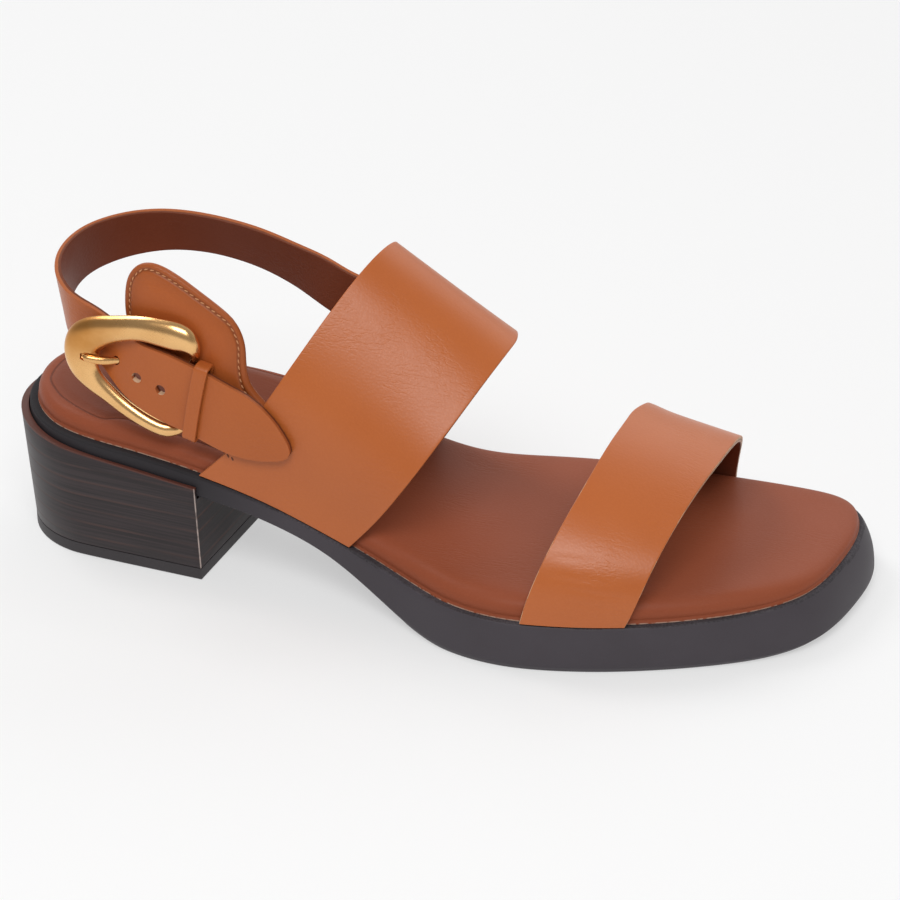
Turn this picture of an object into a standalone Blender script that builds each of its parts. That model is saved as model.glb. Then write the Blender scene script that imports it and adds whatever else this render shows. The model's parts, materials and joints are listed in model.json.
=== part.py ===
"""Right-foot slingback sandal with two wide straps, a side buckle and a block heel.

Sizes are in millimetres until a mesh is made. +X runs from heel to toe, +Y towards the
inner (medial) side of the foot and +Z up. The sole stands on Z = 0.
"""
import math
from collections import namedtuple

import bmesh
import bpy
from mathutils import Vector

MM = 0.001
GAP = 0.3
# The middle of the finished sandal's footprint, which becomes the origin.
ORIGIN = Vector((1.44, 0.46, 0.0))

# The sole, one row for each section from the back of the heel to the toe.
# lateral and medial are the edges of the ledge, underside and ledge are heights,
# and padding is the thickness of the footbed.
Section = namedtuple("Section", "x lateral medial underside ledge padding")
SECTIONS = (
    Section(-121.9, 9.0, 9.0, 33.4, 40.0, 5.8),
    Section(-119.2, -3.4, 21.2, 33.2, 39.9, 5.8),
    Section(-113.6, -12.2, 28.8, 32.8, 39.6, 5.8),
    Section(-106.0, -18.5, 33.2, 32.3, 39.0, 5.8),
    Section(-95.0, -22.0, 34.4, 31.3, 38.1, 5.8),
    Section(-80.0, -23.6, 33.0, 29.8, 36.7, 5.8),
    Section(-59.0, -25.8, 31.4, 27.1, 33.9, 5.8),
    Section(-40.0, -26.5, 31.8, 23.0, 28.9, 5.9),
    Section(-20.0, -28.6, 33.8, 15.8, 22.1, 6.0),
    Section(-5.0, -32.2, 37.0, 7.0, 17.5, 6.1),
    Section(4.0, -35.8, 39.4, 2.2, 15.2, 6.2),
    Section(17.0, -42.9, 42.0, 0.0, 14.2, 6.2),
    Section(29.3, -46.3, 44.4, 0.0, 14.0, 6.2),
    Section(41.0, -46.6, 46.0, 0.0, 14.0, 6.2),
    Section(62.0, -42.4, 46.9, 0.0, 14.0, 6.1),
    Section(82.0, -34.7, 46.9, 0.0, 14.0, 5.8),
    Section(101.8, -23.2, 46.0, 0.0, 14.4, 5.0),
    Section(112.0, -13.8, 44.4, 0.5, 15.0, 4.1),
    Section(116.5, -5.8, 42.2, 0.9, 15.4, 3.5),
    Section(120.0, 6.8, 38.2, 1.3, 15.7, 3.3),
    Section(122.4, 25.0, 25.0, 1.6, 16.0, 3.2),
)
SPANS = 48
FAN = 7
LEDGE_WIDTH = 2.6
TOE_LEDGE_WIDTH = 1.6
ARCH_LIFT = 5.5
ARCH_X = -38.0
ARCH_REACH = 55.0
ARCH_RISE = 34.0
HEEL_CUP = 1.0
HEEL_CUP_X = -88.0
HEEL_CUP_Y = 5.0
HEEL_CUP_REACH = 26.0

# The wall of the sole from floor to ledge: share of the height, and how far it stands out
# past the ledge's edge, as a plain step and as a share of the bulge round the toe.
Wall = namedtuple("Wall", "rise step bulge")
WALL = (
    Wall(0.0, -0.9, 0.7),
    Wall(0.12, 0.2, 1.0),
    Wall(0.5, 0.2, 0.85),
    Wall(0.92, 0.0, 0.15),
    Wall(1.0, -0.6, 0.0),
)
TOE_BULGE = 3.6
TOE_BULGE_X = 122.0
TOE_BULGE_REACH = 52.0

# The round edge of the footbed: share of the padding's height, and the step in from its side.
Edge = namedtuple("Edge", "rise step")
FOOTBED_EDGE = (Edge(0.0, 0.5), Edge(0.22, 0.0), Edge(0.55, 0.35), Edge(0.82, 1.5), Edge(1.0, 3.6))

# The heel block tapers from its lip to the top lift, on an axis turned a little outwards.
HEEL_BACK = Vector((-123.2, 9.1))
HEEL_BREAST = Vector((-56.5, 2.1))
HEEL_LIP_HALF_WIDTH = 29.7
HEEL_FOOT_HALF_WIDTH = 27.5
HEEL_FOOT_SETBACK = 2.2
HEEL_LIP_BACK = 38.0
HEEL_LIP_BREAST = 30.4
TOP_LIFT = 3.4
HEEL_MEDIAL_FULLNESS = 2.35
HEEL_SIDE_SPANS = 4
HEEL_ARC_SPANS = 20

# A band over the foot. Its rear and front edges each rise from the ledge on the outer side,
# over the crown and down to the ledge on the inner side.
# A sweep bends the edge on its side: under 1 it leans forward early, over 1 it leans forward late.
# The tuck draws the edge back on the inner side.
Rim = namedtuple("Rim", "lateral_x medial_x crown_x crown_y crown_z lateral_sweep medial_sweep medial_tuck")
Band = namedtuple("Band", "rear front lateral_fullness medial_fullness lateral_bulge")
TOE_BAND = Band(
    rear=Rim(40.0, 50.0, 56.3, 6.0, 50.0, 1.15, 2.4, 0.0),
    front=Rim(67.5, 81.3, 83.1, 6.0, 42.0, 0.8, 1.7, 0.3),
    lateral_fullness=2.1, medial_fullness=2.3, lateral_bulge=1.5,
)
INSTEP_BAND = Band(
    rear=Rim(-58.7, -49.0, -13.4, 6.0, 95.8, 0.78, 1.0, -0.7),
    front=Rim(-13.0, -8.0, 24.3, 6.0, 71.7, 0.88, 1.0, 2.4),
    lateral_fullness=2.3, medial_fullness=2.2, lateral_bulge=5.2,
)
BAND_THICKNESS = 1.9
FOOT_GAP = 0.5
BAND_ROWS = 6
BAND_COLUMNS = 30
# Behind the instep band its side runs on as the side of the ankle, straight and steeper.
ANKLE_X = -62.0
ANKLE_RISE = 110.0
WALL_REACH = (-1.6, 1.0)
WALL_STEPS = 24

# The heel strap's middle line. It starts sewn inside the instep band, runs free round the
# heel and ends on the outer side, over the buckle's bar and through the keeper.
# stand_off is the way out from the band's inner face to the strap's, lean tips its top inwards.
Lap = namedtuple("Lap", "x z width stand_off")
Turn = namedtuple("Turn", "x y z width lean")
SEWN_END = (
    Lap(-8.0, 65.4, 16.5, -2.2),
    Lap(-15.0, 67.8, 16.5, -2.2),
    Lap(-22.0, 69.7, 16.5, -2.2),
    Lap(-29.5, 71.5, 16.3, -2.2),
)
HEEL_TURN = (
    Turn(-38.5, 26.9, 73.3, 15.9, 5.0),
    Turn(-47.6, 31.0, 74.9, 15.2, 12.0),
    Turn(-61.4, 35.4, 77.2, 14.9, 18.0),
    Turn(-78.0, 38.9, 78.0, 14.6, 20.0),
    Turn(-90.4, 38.5, 77.9, 14.8, 18.0),
    Turn(-100.3, 33.8, 77.3, 15.2, 13.0),
    Turn(-107.0, 25.0, 76.9, 15.4, 7.0),
    Turn(-109.2, 16.0, 76.6, 15.4, 1.0),
    Turn(-108.5, 6.5, 76.4, 15.2, -5.0),
    Turn(-105.9, -2.0, 76.2, 15.0, -8.0),
    Turn(-102.2, -9.6, 75.8, 14.8, -7.0),
    Turn(-97.8, -15.4, 74.8, 14.6, -4.0),
)
LEAF_END = (
    Lap(-92.2, 73.2, 14.8, -2.6),
    Lap(-88.0, 71.9, 14.6, -1.5),
    Lap(-84.0, 70.3, 14.2, -0.7),
    Lap(-80.0, 67.8, 15.6, 0.6),
    Lap(-76.0, 65.7, 18.2, 1.9),
    Lap(-72.0, 64.1, 20.2, 2.2),
    Lap(-66.6, 62.3, 21.8, 2.3),
    Lap(-61.0, 60.5, 21.4, 2.35),
    Lap(-56.7, 59.0, 20.8, 1.9),
    Lap(-50.0, 56.4, 20.4, 2.3),
    Lap(-45.0, 54.6, 20.2, 2.3),
    Lap(-40.5, 52.9, 18.0, 2.3),
    Lap(-36.0, 51.1, 14.0, 2.3),
    Lap(-32.5, 49.6, 9.0, 2.3),
    Lap(-30.3, 48.8, 5.2, 2.3),
    Lap(-29.3, 48.4, 1.6, 2.3),
)
STRAP_THICKNESS = 1.8
STRAP_STEP = 5.5
STRAP_COLUMNS = 4
HOLE_PLACES = ((-75.0, 63.6), (-67.6, 61.4))
HOLE_RADIUS = 1.6
HOLE_DEPTH = 6.0

# The pad behind the buckle, as an outline on the same side wall.
PAD_OUTLINE = (
    (-80.0, 79.0), (-79.8, 87.6), (-78.5, 92.6), (-75.6, 96.1), (-72.6, 97.4), (-68.6, 97.0),
    (-62.8, 94.3), (-57.2, 90.7), (-51.5, 86.8), (-47.3, 83.3), (-45.0, 79.4), (-44.0, 75.7),
    (-43.8, 69.9), (-42.5, 64.4), (-37.5, 59.0), (-33.5, 53.5), (-38.0, 49.5), (-46.0, 50.5),
    (-55.0, 53.0), (-64.0, 57.4), (-72.4, 64.3), (-77.9, 72.0),
)
PAD_MIDDLE = (-60.0, 72.0)
PAD_OUTER = -0.35
PAD_THICKNESS = 3.0
PAD_POINTS = 44
# How the pad rounds off: share of the way from its middle to its edge, and share of the thickness.
Round = namedtuple("Round", "share depth")
PAD_ROUND = (Round(0.4, 0.5), Round(0.75, 0.5), Round(0.93, 0.46), Round(0.985, 0.3), Round(1.0, 0.0))

# The cast frame, once round from the top of its bar. centre is the stand-off of the section's
# middle, front and back are its depths either side of that.
Cast = namedtuple("Cast", "x z half_width centre front back")
FRAME = (
    Cast(-58.4, 71.0, 1.2, 0.95, 0.85, 0.85),
    Cast(-57.7, 74.6, 2.1, 2.0, 2.3, 1.3),
    Cast(-60.4, 77.7, 4.3, 2.5, 2.9, 1.3),
    Cast(-67.1, 79.0, 4.3, 3.0, 2.9, 1.3),
    Cast(-73.0, 79.3, 3.9, 3.3, 2.9, 1.3),
    Cast(-80.0, 77.9, 4.0, 3.5, 2.9, 1.3),
    Cast(-86.3, 75.7, 4.8, 3.5, 2.9, 1.3),
    Cast(-90.6, 72.5, 5.4, 3.6, 2.9, 1.3),
    Cast(-92.1, 67.9, 5.4, 3.6, 2.9, 1.3),
    Cast(-91.4, 63.6, 4.7, 3.6, 2.7, 1.3),
    Cast(-88.9, 60.1, 3.7, 3.5, 2.5, 1.3),
    Cast(-84.6, 56.6, 2.8, 3.3, 2.3, 1.3),
    Cast(-79.1, 52.6, 2.45, 3.1, 2.2, 1.3),
    Cast(-71.3, 48.8, 2.3, 2.8, 2.2, 1.3),
    Cast(-66.5, 47.7, 2.2, 2.2, 2.0, 1.2),
    Cast(-63.8, 48.4, 1.5, 1.1, 0.9, 0.9),
    Cast(-62.9, 51.9, 1.2, 1.0, 0.9, 0.9),
    Cast(-60.8, 60.8, 1.2, 1.0, 0.9, 0.9),
)
FRAME_STEPS = 3
FRAME_POINTS = 14

# The prong lies under the strap from the bar, comes up through a slot and rests on the frame.
Prong = namedtuple("Prong", "x z stand_off radius")
PRONG = (
    Prong(-62.8, 61.2, 0.75, 0.65),
    Prong(-69.0, 63.4, 0.7, 0.65),
    Prong(-76.0, 65.7, 0.5, 0.6),
    Prong(-80.0, 66.4, 0.8, 0.75),
    Prong(-81.8, 66.7, 2.0, 1.1),
    Prong(-83.5, 67.0, 3.5, 1.3),
    Prong(-85.6, 67.5, 4.9, 1.3),
    Prong(-87.8, 68.0, 5.8, 1.25),
    Prong(-89.5, 68.3, 6.1, 1.1),
    Prong(-90.1, 68.4, 6.2, 0.5),
)
# Room past the prong's tip in the frame's notch.
PRONG_ROOM = Prong(-91.0, 68.5, 6.3, 0.6)
PRONG_STEPS = 2
PRONG_POINTS = 12

# The keeper is a flat loop of leather round the strap, beside the bar.
KEEPER_MIDDLE = Vector((-57.0, 59.1))
KEEPER_UP = Vector((0.21, 0.978))
KEEPER_WIDTH = 4.0
KEEPER_THICKNESS = 1.0
KEEPER_REACH = (-12.3, 12.4)
KEEPER_STAND_OFF = (0.0, 5.5)
KEEPER_CORNER = 1.6
KEEPER_CORNER_SPANS = 4
KEEPER_SIDE_SPANS = 4


class Curve:
    """A smooth curve through values at rising knots."""

    def __init__(self, knots, values):
        self.knots = knots
        self.values = values
        last = len(knots) - 1
        steps = [knots[i + 1] - knots[i] for i in range(last)]
        chords = [(values[i + 1] - values[i]) / steps[i] for i in range(last)]
        inner = [
            (chords[i - 1] * steps[i] + chords[i] * steps[i - 1]) / (steps[i - 1] + steps[i])
            for i in range(1, last)
        ]
        self.slopes = [chords[0]] + inner + [chords[-1]]

    def at(self, t):
        """The value at t, which is held inside the knots."""
        t = min(max(t, self.knots[0]), self.knots[-1])
        i = 0
        while i < len(self.knots) - 2 and t > self.knots[i + 1]:
            i += 1
        step = self.knots[i + 1] - self.knots[i]
        s = (t - self.knots[i]) / step
        return (
            self.values[i] * (1 + 2 * s) * (1 - s) ** 2
            + self.slopes[i] * step * s * (1 - s) ** 2
            + self.values[i + 1] * s * s * (3 - 2 * s)
            + self.slopes[i + 1] * step * s * s * (s - 1)
        )


def path_curve(points):
    """A curve through points, with knots by the root of each step so that corners don't loop."""
    knots = [0.0]
    for a, b in zip(points, points[1:]):
        knots.append(knots[-1] + math.sqrt((b - a).length))
    return Curve(knots, points)


def stepped(curve, steps):
    """Knots of a curve with each of its spans cut in equal steps."""
    knots = []
    for a, b in zip(curve.knots, curve.knots[1:]):
        knots += [a + (b - a) * i / steps for i in range(steps)]
    return knots + [curve.knots[-1]]


def even_points(curve, first, last, spans):
    """Points at equal steps of length along a curve between two knots."""
    fine = 400
    dense = [curve.at(first + (last - first) * i / fine) for i in range(fine + 1)]
    lengths = [0.0]
    for a, b in zip(dense, dense[1:]):
        lengths.append(lengths[-1] + (b - a).length)
    points = []
    i = 0
    for n in range(spans + 1):
        goal = lengths[-1] * n / spans
        while i < fine - 1 and lengths[i + 1] < goal:
            i += 1
        share = (goal - lengths[i]) / (lengths[i + 1] - lengths[i])
        points.append(dense[i].lerp(dense[i + 1], share))
    return points


def sole_side(side, other):
    """One side of the ledge's outline, from the heel's tip to the toe's tip."""
    edge = [Vector((s.x, getattr(s, side))) for s in SECTIONS]
    before = Vector((SECTIONS[1].x, getattr(SECTIONS[1], other)))
    after = Vector((SECTIONS[-2].x, getattr(SECTIONS[-2], other)))
    curve = path_curve([before] + edge + [after])
    return even_points(curve, curve.knots[1], curve.knots[-2], SPANS)


def sole_loop():
    """The ledge's outline as a closed loop: up the lateral side and back down the medial side."""
    lateral = sole_side("lateral", "medial")
    medial = sole_side("medial", "lateral")
    return lateral + medial[-2:0:-1]


LOOP = sole_loop()
LOOP_SIZE = len(LOOP)


def outward(loop, i):
    """The outward direction at a point of a loop that runs counter-clockwise."""
    along = loop[(i + 1) % len(loop)] - loop[i - 1]
    return Vector((along.y, -along.x)).normalized()


def offset_loop(step):
    """The ledge's outline moved outwards by a step, a number or a function of the point."""
    moved = []
    for i, point in enumerate(LOOP):
        out = step(point) if callable(step) else step
        moved.append(point + outward(LOOP, i) * out)
    return moved


def shrunk_loop(loop, share):
    """A loop drawn in towards the sole's middle line, which stops short of both ends."""
    drawn = []
    for i, point in enumerate(loop):
        station = i if i <= SPANS else LOOP_SIZE - i
        station = min(max(station, FAN), SPANS - FAN)
        middle = (loop[station] + loop[LOOP_SIZE - station]) / 2
        drawn.append(middle.lerp(point, share))
    return drawn


def edge_y(loop, x, lateral):
    """Where a loop's lateral or medial side lies at a given x."""
    side = loop[: SPANS + 1] if lateral else [loop[0]] + loop[:SPANS - 1:-1]
    for a, b in zip(side, side[1:]):
        if a.x <= x <= b.x:
            return a.lerp(b, (x - a.x) / (b.x - a.x)).y
    return side[0].y if x < side[0].x else side[-1].y


HEIGHTS = {
    column: Curve([s.x for s in SECTIONS], [getattr(s, column) for s in SECTIONS])
    for column in ("underside", "ledge", "padding")
}


def arch(x, y):
    """How far the sole is lifted under the arch of the foot."""
    share = min(max(y / ARCH_RISE, 0.0), 1.0)
    near = max(0.0, 1 - ((x - ARCH_X) / ARCH_REACH) ** 2)
    return ARCH_LIFT * share * share * (3 - 2 * share) * near * near


def underside(x, y):
    """Height of the sole's underside."""
    return max(0.0, HEIGHTS["underside"].at(x)) + arch(x, y)


def ledge(x, y):
    """Height of the ledge on top of the sole."""
    return HEIGHTS["ledge"].at(x) + arch(x, y)


def footbed_rise(x, y, share):
    """Height inside the footbed, from its base at share 0 to its top at share 1."""
    return ledge(x, y) + GAP + HEIGHTS["padding"].at(x) * share


def footbed_top(x, y):
    """Height of the footbed's top, hollowed a little under the heel."""
    away = math.hypot(x - HEEL_CUP_X, y - HEEL_CUP_Y) / HEEL_CUP_REACH
    return footbed_rise(x, y, 1.0) - HEEL_CUP * max(0.0, 1 - away * away)


def ring(loop, height):
    """A flat loop raised to its height at each point."""
    return [Vector((p.x, p.y, height(p.x, p.y))) for p in loop]


def new_collection(name):
    """An empty collection in the scene."""
    collection = bpy.data.collections.new(name)
    bpy.context.scene.collection.children.link(collection)
    return collection


def material(name, colour, roughness, metallic=0.0):
    """A plain finish in one colour."""
    finish = bpy.data.materials.new(name)
    finish.use_nodes = True
    shader = finish.node_tree.nodes["Principled BSDF"]
    shader.inputs["Base Color"].default_value = (*colour, 1.0)
    shader.inputs["Roughness"].default_value = roughness
    shader.inputs["Metallic"].default_value = metallic
    return finish


def add_mesh(name, collection, finish, points, faces, closed=True):
    """A mesh object from points in millimetres, with its faces pointing outwards."""
    mesh = bpy.data.meshes.new(name)
    mesh.from_pydata([(p - ORIGIN) * MM for p in points], [], faces)
    if closed:
        shell = bmesh.new()
        shell.from_mesh(mesh)
        bmesh.ops.recalc_face_normals(shell, faces=shell.faces)
        shell.to_mesh(mesh)
        shell.free()
    mesh.shade_smooth()
    mesh.set_sharp_from_angle(angle=math.radians(40))
    piece = bpy.data.objects.new(name, mesh)
    collection.objects.link(piece)
    if finish:
        mesh.materials.append(finish)
    return piece


def loft(rings, wrap=False):
    """Points and faces of a tube of rings that each close on themselves."""
    size = len(rings[0])
    points = [p for loop in rings for p in loop]
    faces = []
    for r in range(len(rings) if wrap else len(rings) - 1):
        low = r * size
        high = (r + 1) % len(rings) * size
        for i in range(size):
            j = (i + 1) % size
            faces.append((low + i, low + j, high + j, high + i))
    return points, faces


def zip_cap(start):
    """Faces that close a sole-shaped loop straight across, from one side to the other."""
    faces = [(start, start + 1, start + LOOP_SIZE - 1)]
    for i in range(1, SPANS - 1):
        faces.append((start + i, start + i + 1, start + LOOP_SIZE - i - 1, start + LOOP_SIZE - i))
    faces.append((start + SPANS - 1, start + SPANS, start + SPANS + 1))
    return faces


def add_slab(name, collection, finish, rings):
    """A sole-shaped solid from rings that run from its underside, up its side, to its top."""
    points, faces = loft(rings)
    faces += zip_cap(0) + zip_cap((len(rings) - 1) * LOOP_SIZE)
    return add_mesh(name, collection, finish, points, faces)


def toe_bulge(point):
    """How far the sole's wall swells round the toe, as a share of its most."""
    away = max(0.0, TOE_BULGE_X - point.x) / TOE_BULGE_REACH
    return max(0.0, 1 - away) ** 1.5


def wall_loop(row):
    """The outline of the sole's wall at one height."""
    return offset_loop(lambda p: row.step + row.bulge * TOE_BULGE * toe_bulge(p))


def inner_loop(step):
    """The ledge's inner edge, moved outwards by a step. The ledge is narrower round the toe."""
    return offset_loop(lambda p: step - LEDGE_WIDTH + (LEDGE_WIDTH - TOE_LEDGE_WIDTH) * toe_bulge(p))


def build_outsole(collection, finish):
    """The rubber sole with its swelling toe wall and its ledge."""
    wall = []
    for row in WALL:
        wall.append(ring(wall_loop(row), lambda x, y, row=row: (
            underside(x, y) * (1 - row.rise) + ledge(x, y) * row.rise)))
    floor = wall_loop(WALL[0])
    inside = inner_loop(-FOOTBED_EDGE[0].step)
    rings = [ring(shrunk_loop(floor, share), underside) for share in (0.3, 0.75)]
    rings += wall
    rings += [ring(inside, ledge)]
    rings += [ring(shrunk_loop(inside, share), ledge) for share in (0.7, 0.3)]
    return add_slab("outsole", collection, finish, rings)


def build_footbed(collection, finish):
    """The padded footbed, inside the ledge, with a round edge."""
    side = [
        ring(inner_loop(-row.step), lambda x, y, row=row: footbed_rise(x, y, row.rise))
        for row in FOOTBED_EDGE
    ]
    base = inner_loop(-FOOTBED_EDGE[0].step)
    top = inner_loop(-FOOTBED_EDGE[-1].step)

    def base_height(x, y):
        return footbed_rise(x, y, 0.0)

    rings = [ring(shrunk_loop(base, share), base_height) for share in (0.3, 0.7)]
    rings += side
    rings += [ring(shrunk_loop(top, share), footbed_top) for share in (0.8, 0.55, 0.3)]
    return add_slab("footbed", collection, finish, rings)


def heel_loop(half_width, setback):
    """The heel's outline: two straight sides from the breast and a round back, fuller inside."""
    axis = (HEEL_BACK - HEEL_BREAST).normalized()
    across = Vector((axis.y, -axis.x))
    length = (HEEL_BACK - HEEL_BREAST).length - setback
    straight = length - half_width
    outline = [(straight * i / HEEL_SIDE_SPANS, -half_width) for i in range(HEEL_SIDE_SPANS)]
    for i in range(HEEL_ARC_SPANS + 1):
        angle = math.pi * i / HEEL_ARC_SPANS
        power = 1.0 if angle < math.pi / 2 else 2 / HEEL_MEDIAL_FULLNESS
        side = -1 if angle < math.pi / 2 else 1
        back = straight + half_width * math.sin(angle) ** power
        outline.append((back, side * half_width * abs(math.cos(angle)) ** power))
    outline += [(straight * i / HEEL_SIDE_SPANS, half_width) for i in reversed(range(HEEL_SIDE_SPANS))]
    return [HEEL_BREAST + axis * back + across * out for back, out in outline]


def heel_lip(x, y):
    """Height of the heel block's lip, which slopes down to the breast."""
    share = (x - HEEL_BACK.x) / (HEEL_BREAST.x - HEEL_BACK.x)
    return HEEL_LIP_BACK + (HEEL_LIP_BREAST - HEEL_LIP_BACK) * share


def add_block(name, collection, finish, rings):
    """A solid between flat-capped rings."""
    points, faces = loft(rings)
    size = len(rings[0])
    faces.append(tuple(range(size)))
    faces.append(tuple(range((len(rings) - 1) * size, len(rings) * size)))
    return add_mesh(name, collection, finish, points, faces)


def cut(piece, cutter):
    """Cuts a piece by another solid."""
    boolean = piece.modifiers.new("cut_" + cutter.name, "BOOLEAN")
    boolean.operation = "DIFFERENCE"
    boolean.object = cutter
    cutter.hide_render = True
    cutter.display_type = "WIRE"


def build_heel(collection, cutters, heel_finish, lift_finish):
    """The heel block, hollowed on top for the sole, and the lift that it treads on."""
    foot = heel_loop(HEEL_FOOT_HALF_WIDTH, HEEL_FOOT_SETBACK)
    lip = heel_loop(HEEL_LIP_HALF_WIDTH, 0.0)
    lift_rings = [ring(foot, lambda x, y: 0.0), ring(foot, lambda x, y: TOP_LIFT)]
    add_block("heel_top_lift", collection, lift_finish, lift_rings)
    block_rings = [ring(foot, lambda x, y: TOP_LIFT + GAP), ring(lip, heel_lip)]
    block = add_block("heel_block", collection, heel_finish, block_rings)
    room = offset_loop(1.5 * GAP)
    seat_rings = [
        ring(shrunk_loop(room, 0.3), lambda x, y: underside(x, y) - 1.5 * GAP),
        ring(room, lambda x, y: underside(x, y) - 1.5 * GAP),
        ring(room, lambda x, y: ledge(x, y) + 2 * GAP),
        ring(shrunk_loop(room, 0.3), lambda x, y: ledge(x, y) + 2 * GAP),
    ]
    cut(block, add_slab("heel_seat", cutters, None, seat_rings))


STRAP_LOOP = inner_loop(1.5 * GAP)


def mix(a, b, share):
    """A number between two others, or past them."""
    return a + (b - a) * share


def band_rim(band, along):
    """A band's cross-section between its rear edge at 0 and its front edge at 1."""
    rim = Rim(*(mix(a, b, along) for a, b in zip(band.rear, band.front)))
    return rim._replace(crown_z=rim.crown_z + ANKLE_RISE * min(along, 0.0) ** 2)


def foot_y(x, lateral):
    """Where a band's foot stands beside the footbed, on a straight line behind the ankle."""
    if x > ANKLE_X:
        return edge_y(STRAP_LOOP, x, lateral)
    ankle = edge_y(STRAP_LOOP, ANKLE_X, lateral)
    ahead = edge_y(STRAP_LOOP, ANKLE_X + 1, lateral)
    return mix(ankle, ahead, x - ANKLE_X)


def band_point(band, along, turn):
    """A point inside a band, from its lateral foot at turn 0 to its medial foot at turn 1."""
    rim = band_rim(band, along)
    lateral = turn < 0.5
    lateral_y = foot_y(rim.lateral_x, True)
    medial_y = foot_y(rim.medial_x, False)
    base_x, base_y = (rim.lateral_x, lateral_y) if lateral else (rim.medial_x, medial_y)
    power = 2 / (band.lateral_fullness if lateral else band.medial_fullness)
    out = abs(math.cos(math.pi * turn)) ** power
    up = abs(math.sin(math.pi * turn)) ** power
    y = mix(rim.crown_y, base_y, out)
    base_z = ledge(base_x, base_y) + FOOT_GAP
    crown_share = (rim.crown_y - lateral_y) / (medial_y - lateral_y)
    lean = rim.crown_x - mix(rim.lateral_x, rim.medial_x, crown_share)
    x = mix(rim.lateral_x, rim.medial_x, (y - lateral_y) / (medial_y - lateral_y))
    x += lean * up ** (rim.lateral_sweep if lateral else rim.medial_sweep)
    if not lateral:
        x -= rim.medial_tuck * math.sin(math.pi * out)
    bulge = band.lateral_bulge * math.sin(math.pi * up) ** 2 if lateral else 0.0
    return Vector((x, y - bulge, mix(base_z, rim.crown_z, up)))


def wall_point(x, z, lateral=True):
    """The point of the instep band's side, carried on behind the band, at a given x and height."""
    band = INSTEP_BAND
    power = 2 / (band.lateral_fullness if lateral else band.medial_fullness)
    low, high = WALL_REACH
    for _ in range(WALL_STEPS):
        along = (low + high) / 2
        rim = band_rim(band, along)
        base_x = rim.lateral_x if lateral else rim.medial_x
        base_z = ledge(base_x, foot_y(base_x, lateral)) + FOOT_GAP
        up = min(max((z - base_z) / (rim.crown_z - base_z), 0.0), 1.0)
        turn = math.asin(up ** (1 / power)) / math.pi
        point = band_point(band, along, turn if lateral else 1 - turn)
        if point.x < x:
            low = along
        else:
            high = along
    return point


def on_wall(x, z, stand_off, lateral=True):
    """A point at a stand-off from the band's inner face, and the direction outwards there."""
    point = wall_point(x, z, lateral)
    forward = wall_point(x + 1, z, lateral) - wall_point(x - 1, z, lateral)
    upward = wall_point(x, z + 1, lateral) - wall_point(x, z - 1, lateral)
    out = forward.cross(upward) if lateral else upward.cross(forward)
    out.normalize()
    return point + out * stand_off, out


def beside(path, i):
    """Direction along a path at one of its points."""
    return (path[min(i + 1, len(path) - 1)] - path[max(i - 1, 0)]).normalized()


def add_sheet(name, collection, finish, rows, thickness):
    """A leather sheet from rows of points on its inner face, thickened outwards."""
    width = len(rows[0])
    points = [p for row in rows for p in row]
    faces = []
    for r in range(len(rows) - 1):
        for i in range(width - 1):
            a = r * width + i
            faces.append((a, a + 1, a + width + 1, a + width))
    piece = add_mesh(name, collection, finish, points, faces, closed=False)
    wall = piece.modifiers.new("wall", "SOLIDIFY")
    wall.thickness = thickness * MM
    wall.offset = 1.0
    wall.use_even_offset = True
    return piece


def build_band(name, collection, finish, band):
    """A wide leather band over the foot."""
    rows = [
        [band_point(band, along / BAND_ROWS, 1 - turn / BAND_COLUMNS) for turn in range(BAND_COLUMNS + 1)]
        for along in range(BAND_ROWS + 1)
    ]
    return add_sheet(name, collection, finish, rows, BAND_THICKNESS)


def strap_rows():
    """Rows of points on the heel strap's inner face, one for each station, from top to bottom."""
    stations = SEWN_END + HEEL_TURN + LEAF_END
    middles = [
        Vector(s[:3]) if isinstance(s, Turn) else on_wall(s.x, s.z, s.stand_off, s in LEAF_END)[0]
        for s in stations
    ]
    rows = []
    for i, station in enumerate(stations):
        along = beside(middles, i)
        if isinstance(station, Turn):
            lean = math.radians(station.lean)
            out = along.cross(Vector((0, 0, 1))).normalized() * math.cos(lean)
            out.z += math.sin(lean)
        else:
            out = on_wall(station.x, station.z, 0.0, station in LEAF_END)[1]
        down = along.cross(out).normalized()
        row = []
        for column in range(STRAP_COLUMNS + 1):
            place = middles[i] + down * station.width * (column / STRAP_COLUMNS - 0.5)
            if isinstance(station, Lap):
                place = on_wall(place.x, place.z, station.stand_off, station in LEAF_END)[0]
            row.append(place)
        rows.append(row)
    return rows


def tube(stations, sections, steps, wrap):
    """Rings of a tube swept through stations on the side wall.

    sections gives, for the numbers of one station, the offsets beside and out from its middle.
    """
    numbers = [Vector(station) for station in stations]
    if wrap:
        numbers = numbers[-2:] + numbers + numbers[:3]
    knots = [0.0]
    for a, b in zip(numbers, numbers[1:]):
        knots.append(knots[-1] + math.sqrt(math.hypot(b[0] - a[0], b[1] - a[1])))
    columns = [Curve(knots, [n[k] for n in numbers]) for k in range(len(numbers[0]))]
    places = stepped(columns[0], steps)
    if wrap:
        places = places[2 * steps:-2 * steps - 1]
    rings = []
    for t in places:
        station = [column.at(t) for column in columns]
        ahead = wall_point(columns[0].at(t + 0.05), columns[1].at(t + 0.05))
        behind = wall_point(columns[0].at(t - 0.05), columns[1].at(t - 0.05))
        middle, out = on_wall(station[0], station[1], 0.0)
        side = (ahead - behind).cross(out).normalized()
        rings.append([middle + side * a + out * b for a, b in sections(station)])
    return rings


def frame_section(station):
    """The frame's section: a dome in front and a flatter back."""
    half_width, centre, front, back = station[2:]
    section = []
    for i in range(FRAME_POINTS):
        angle = 2 * math.pi * i / FRAME_POINTS
        depth = front if math.sin(angle) > 0 else back
        section.append((half_width * math.cos(angle), centre + depth * math.sin(angle)))
    return section


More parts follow.
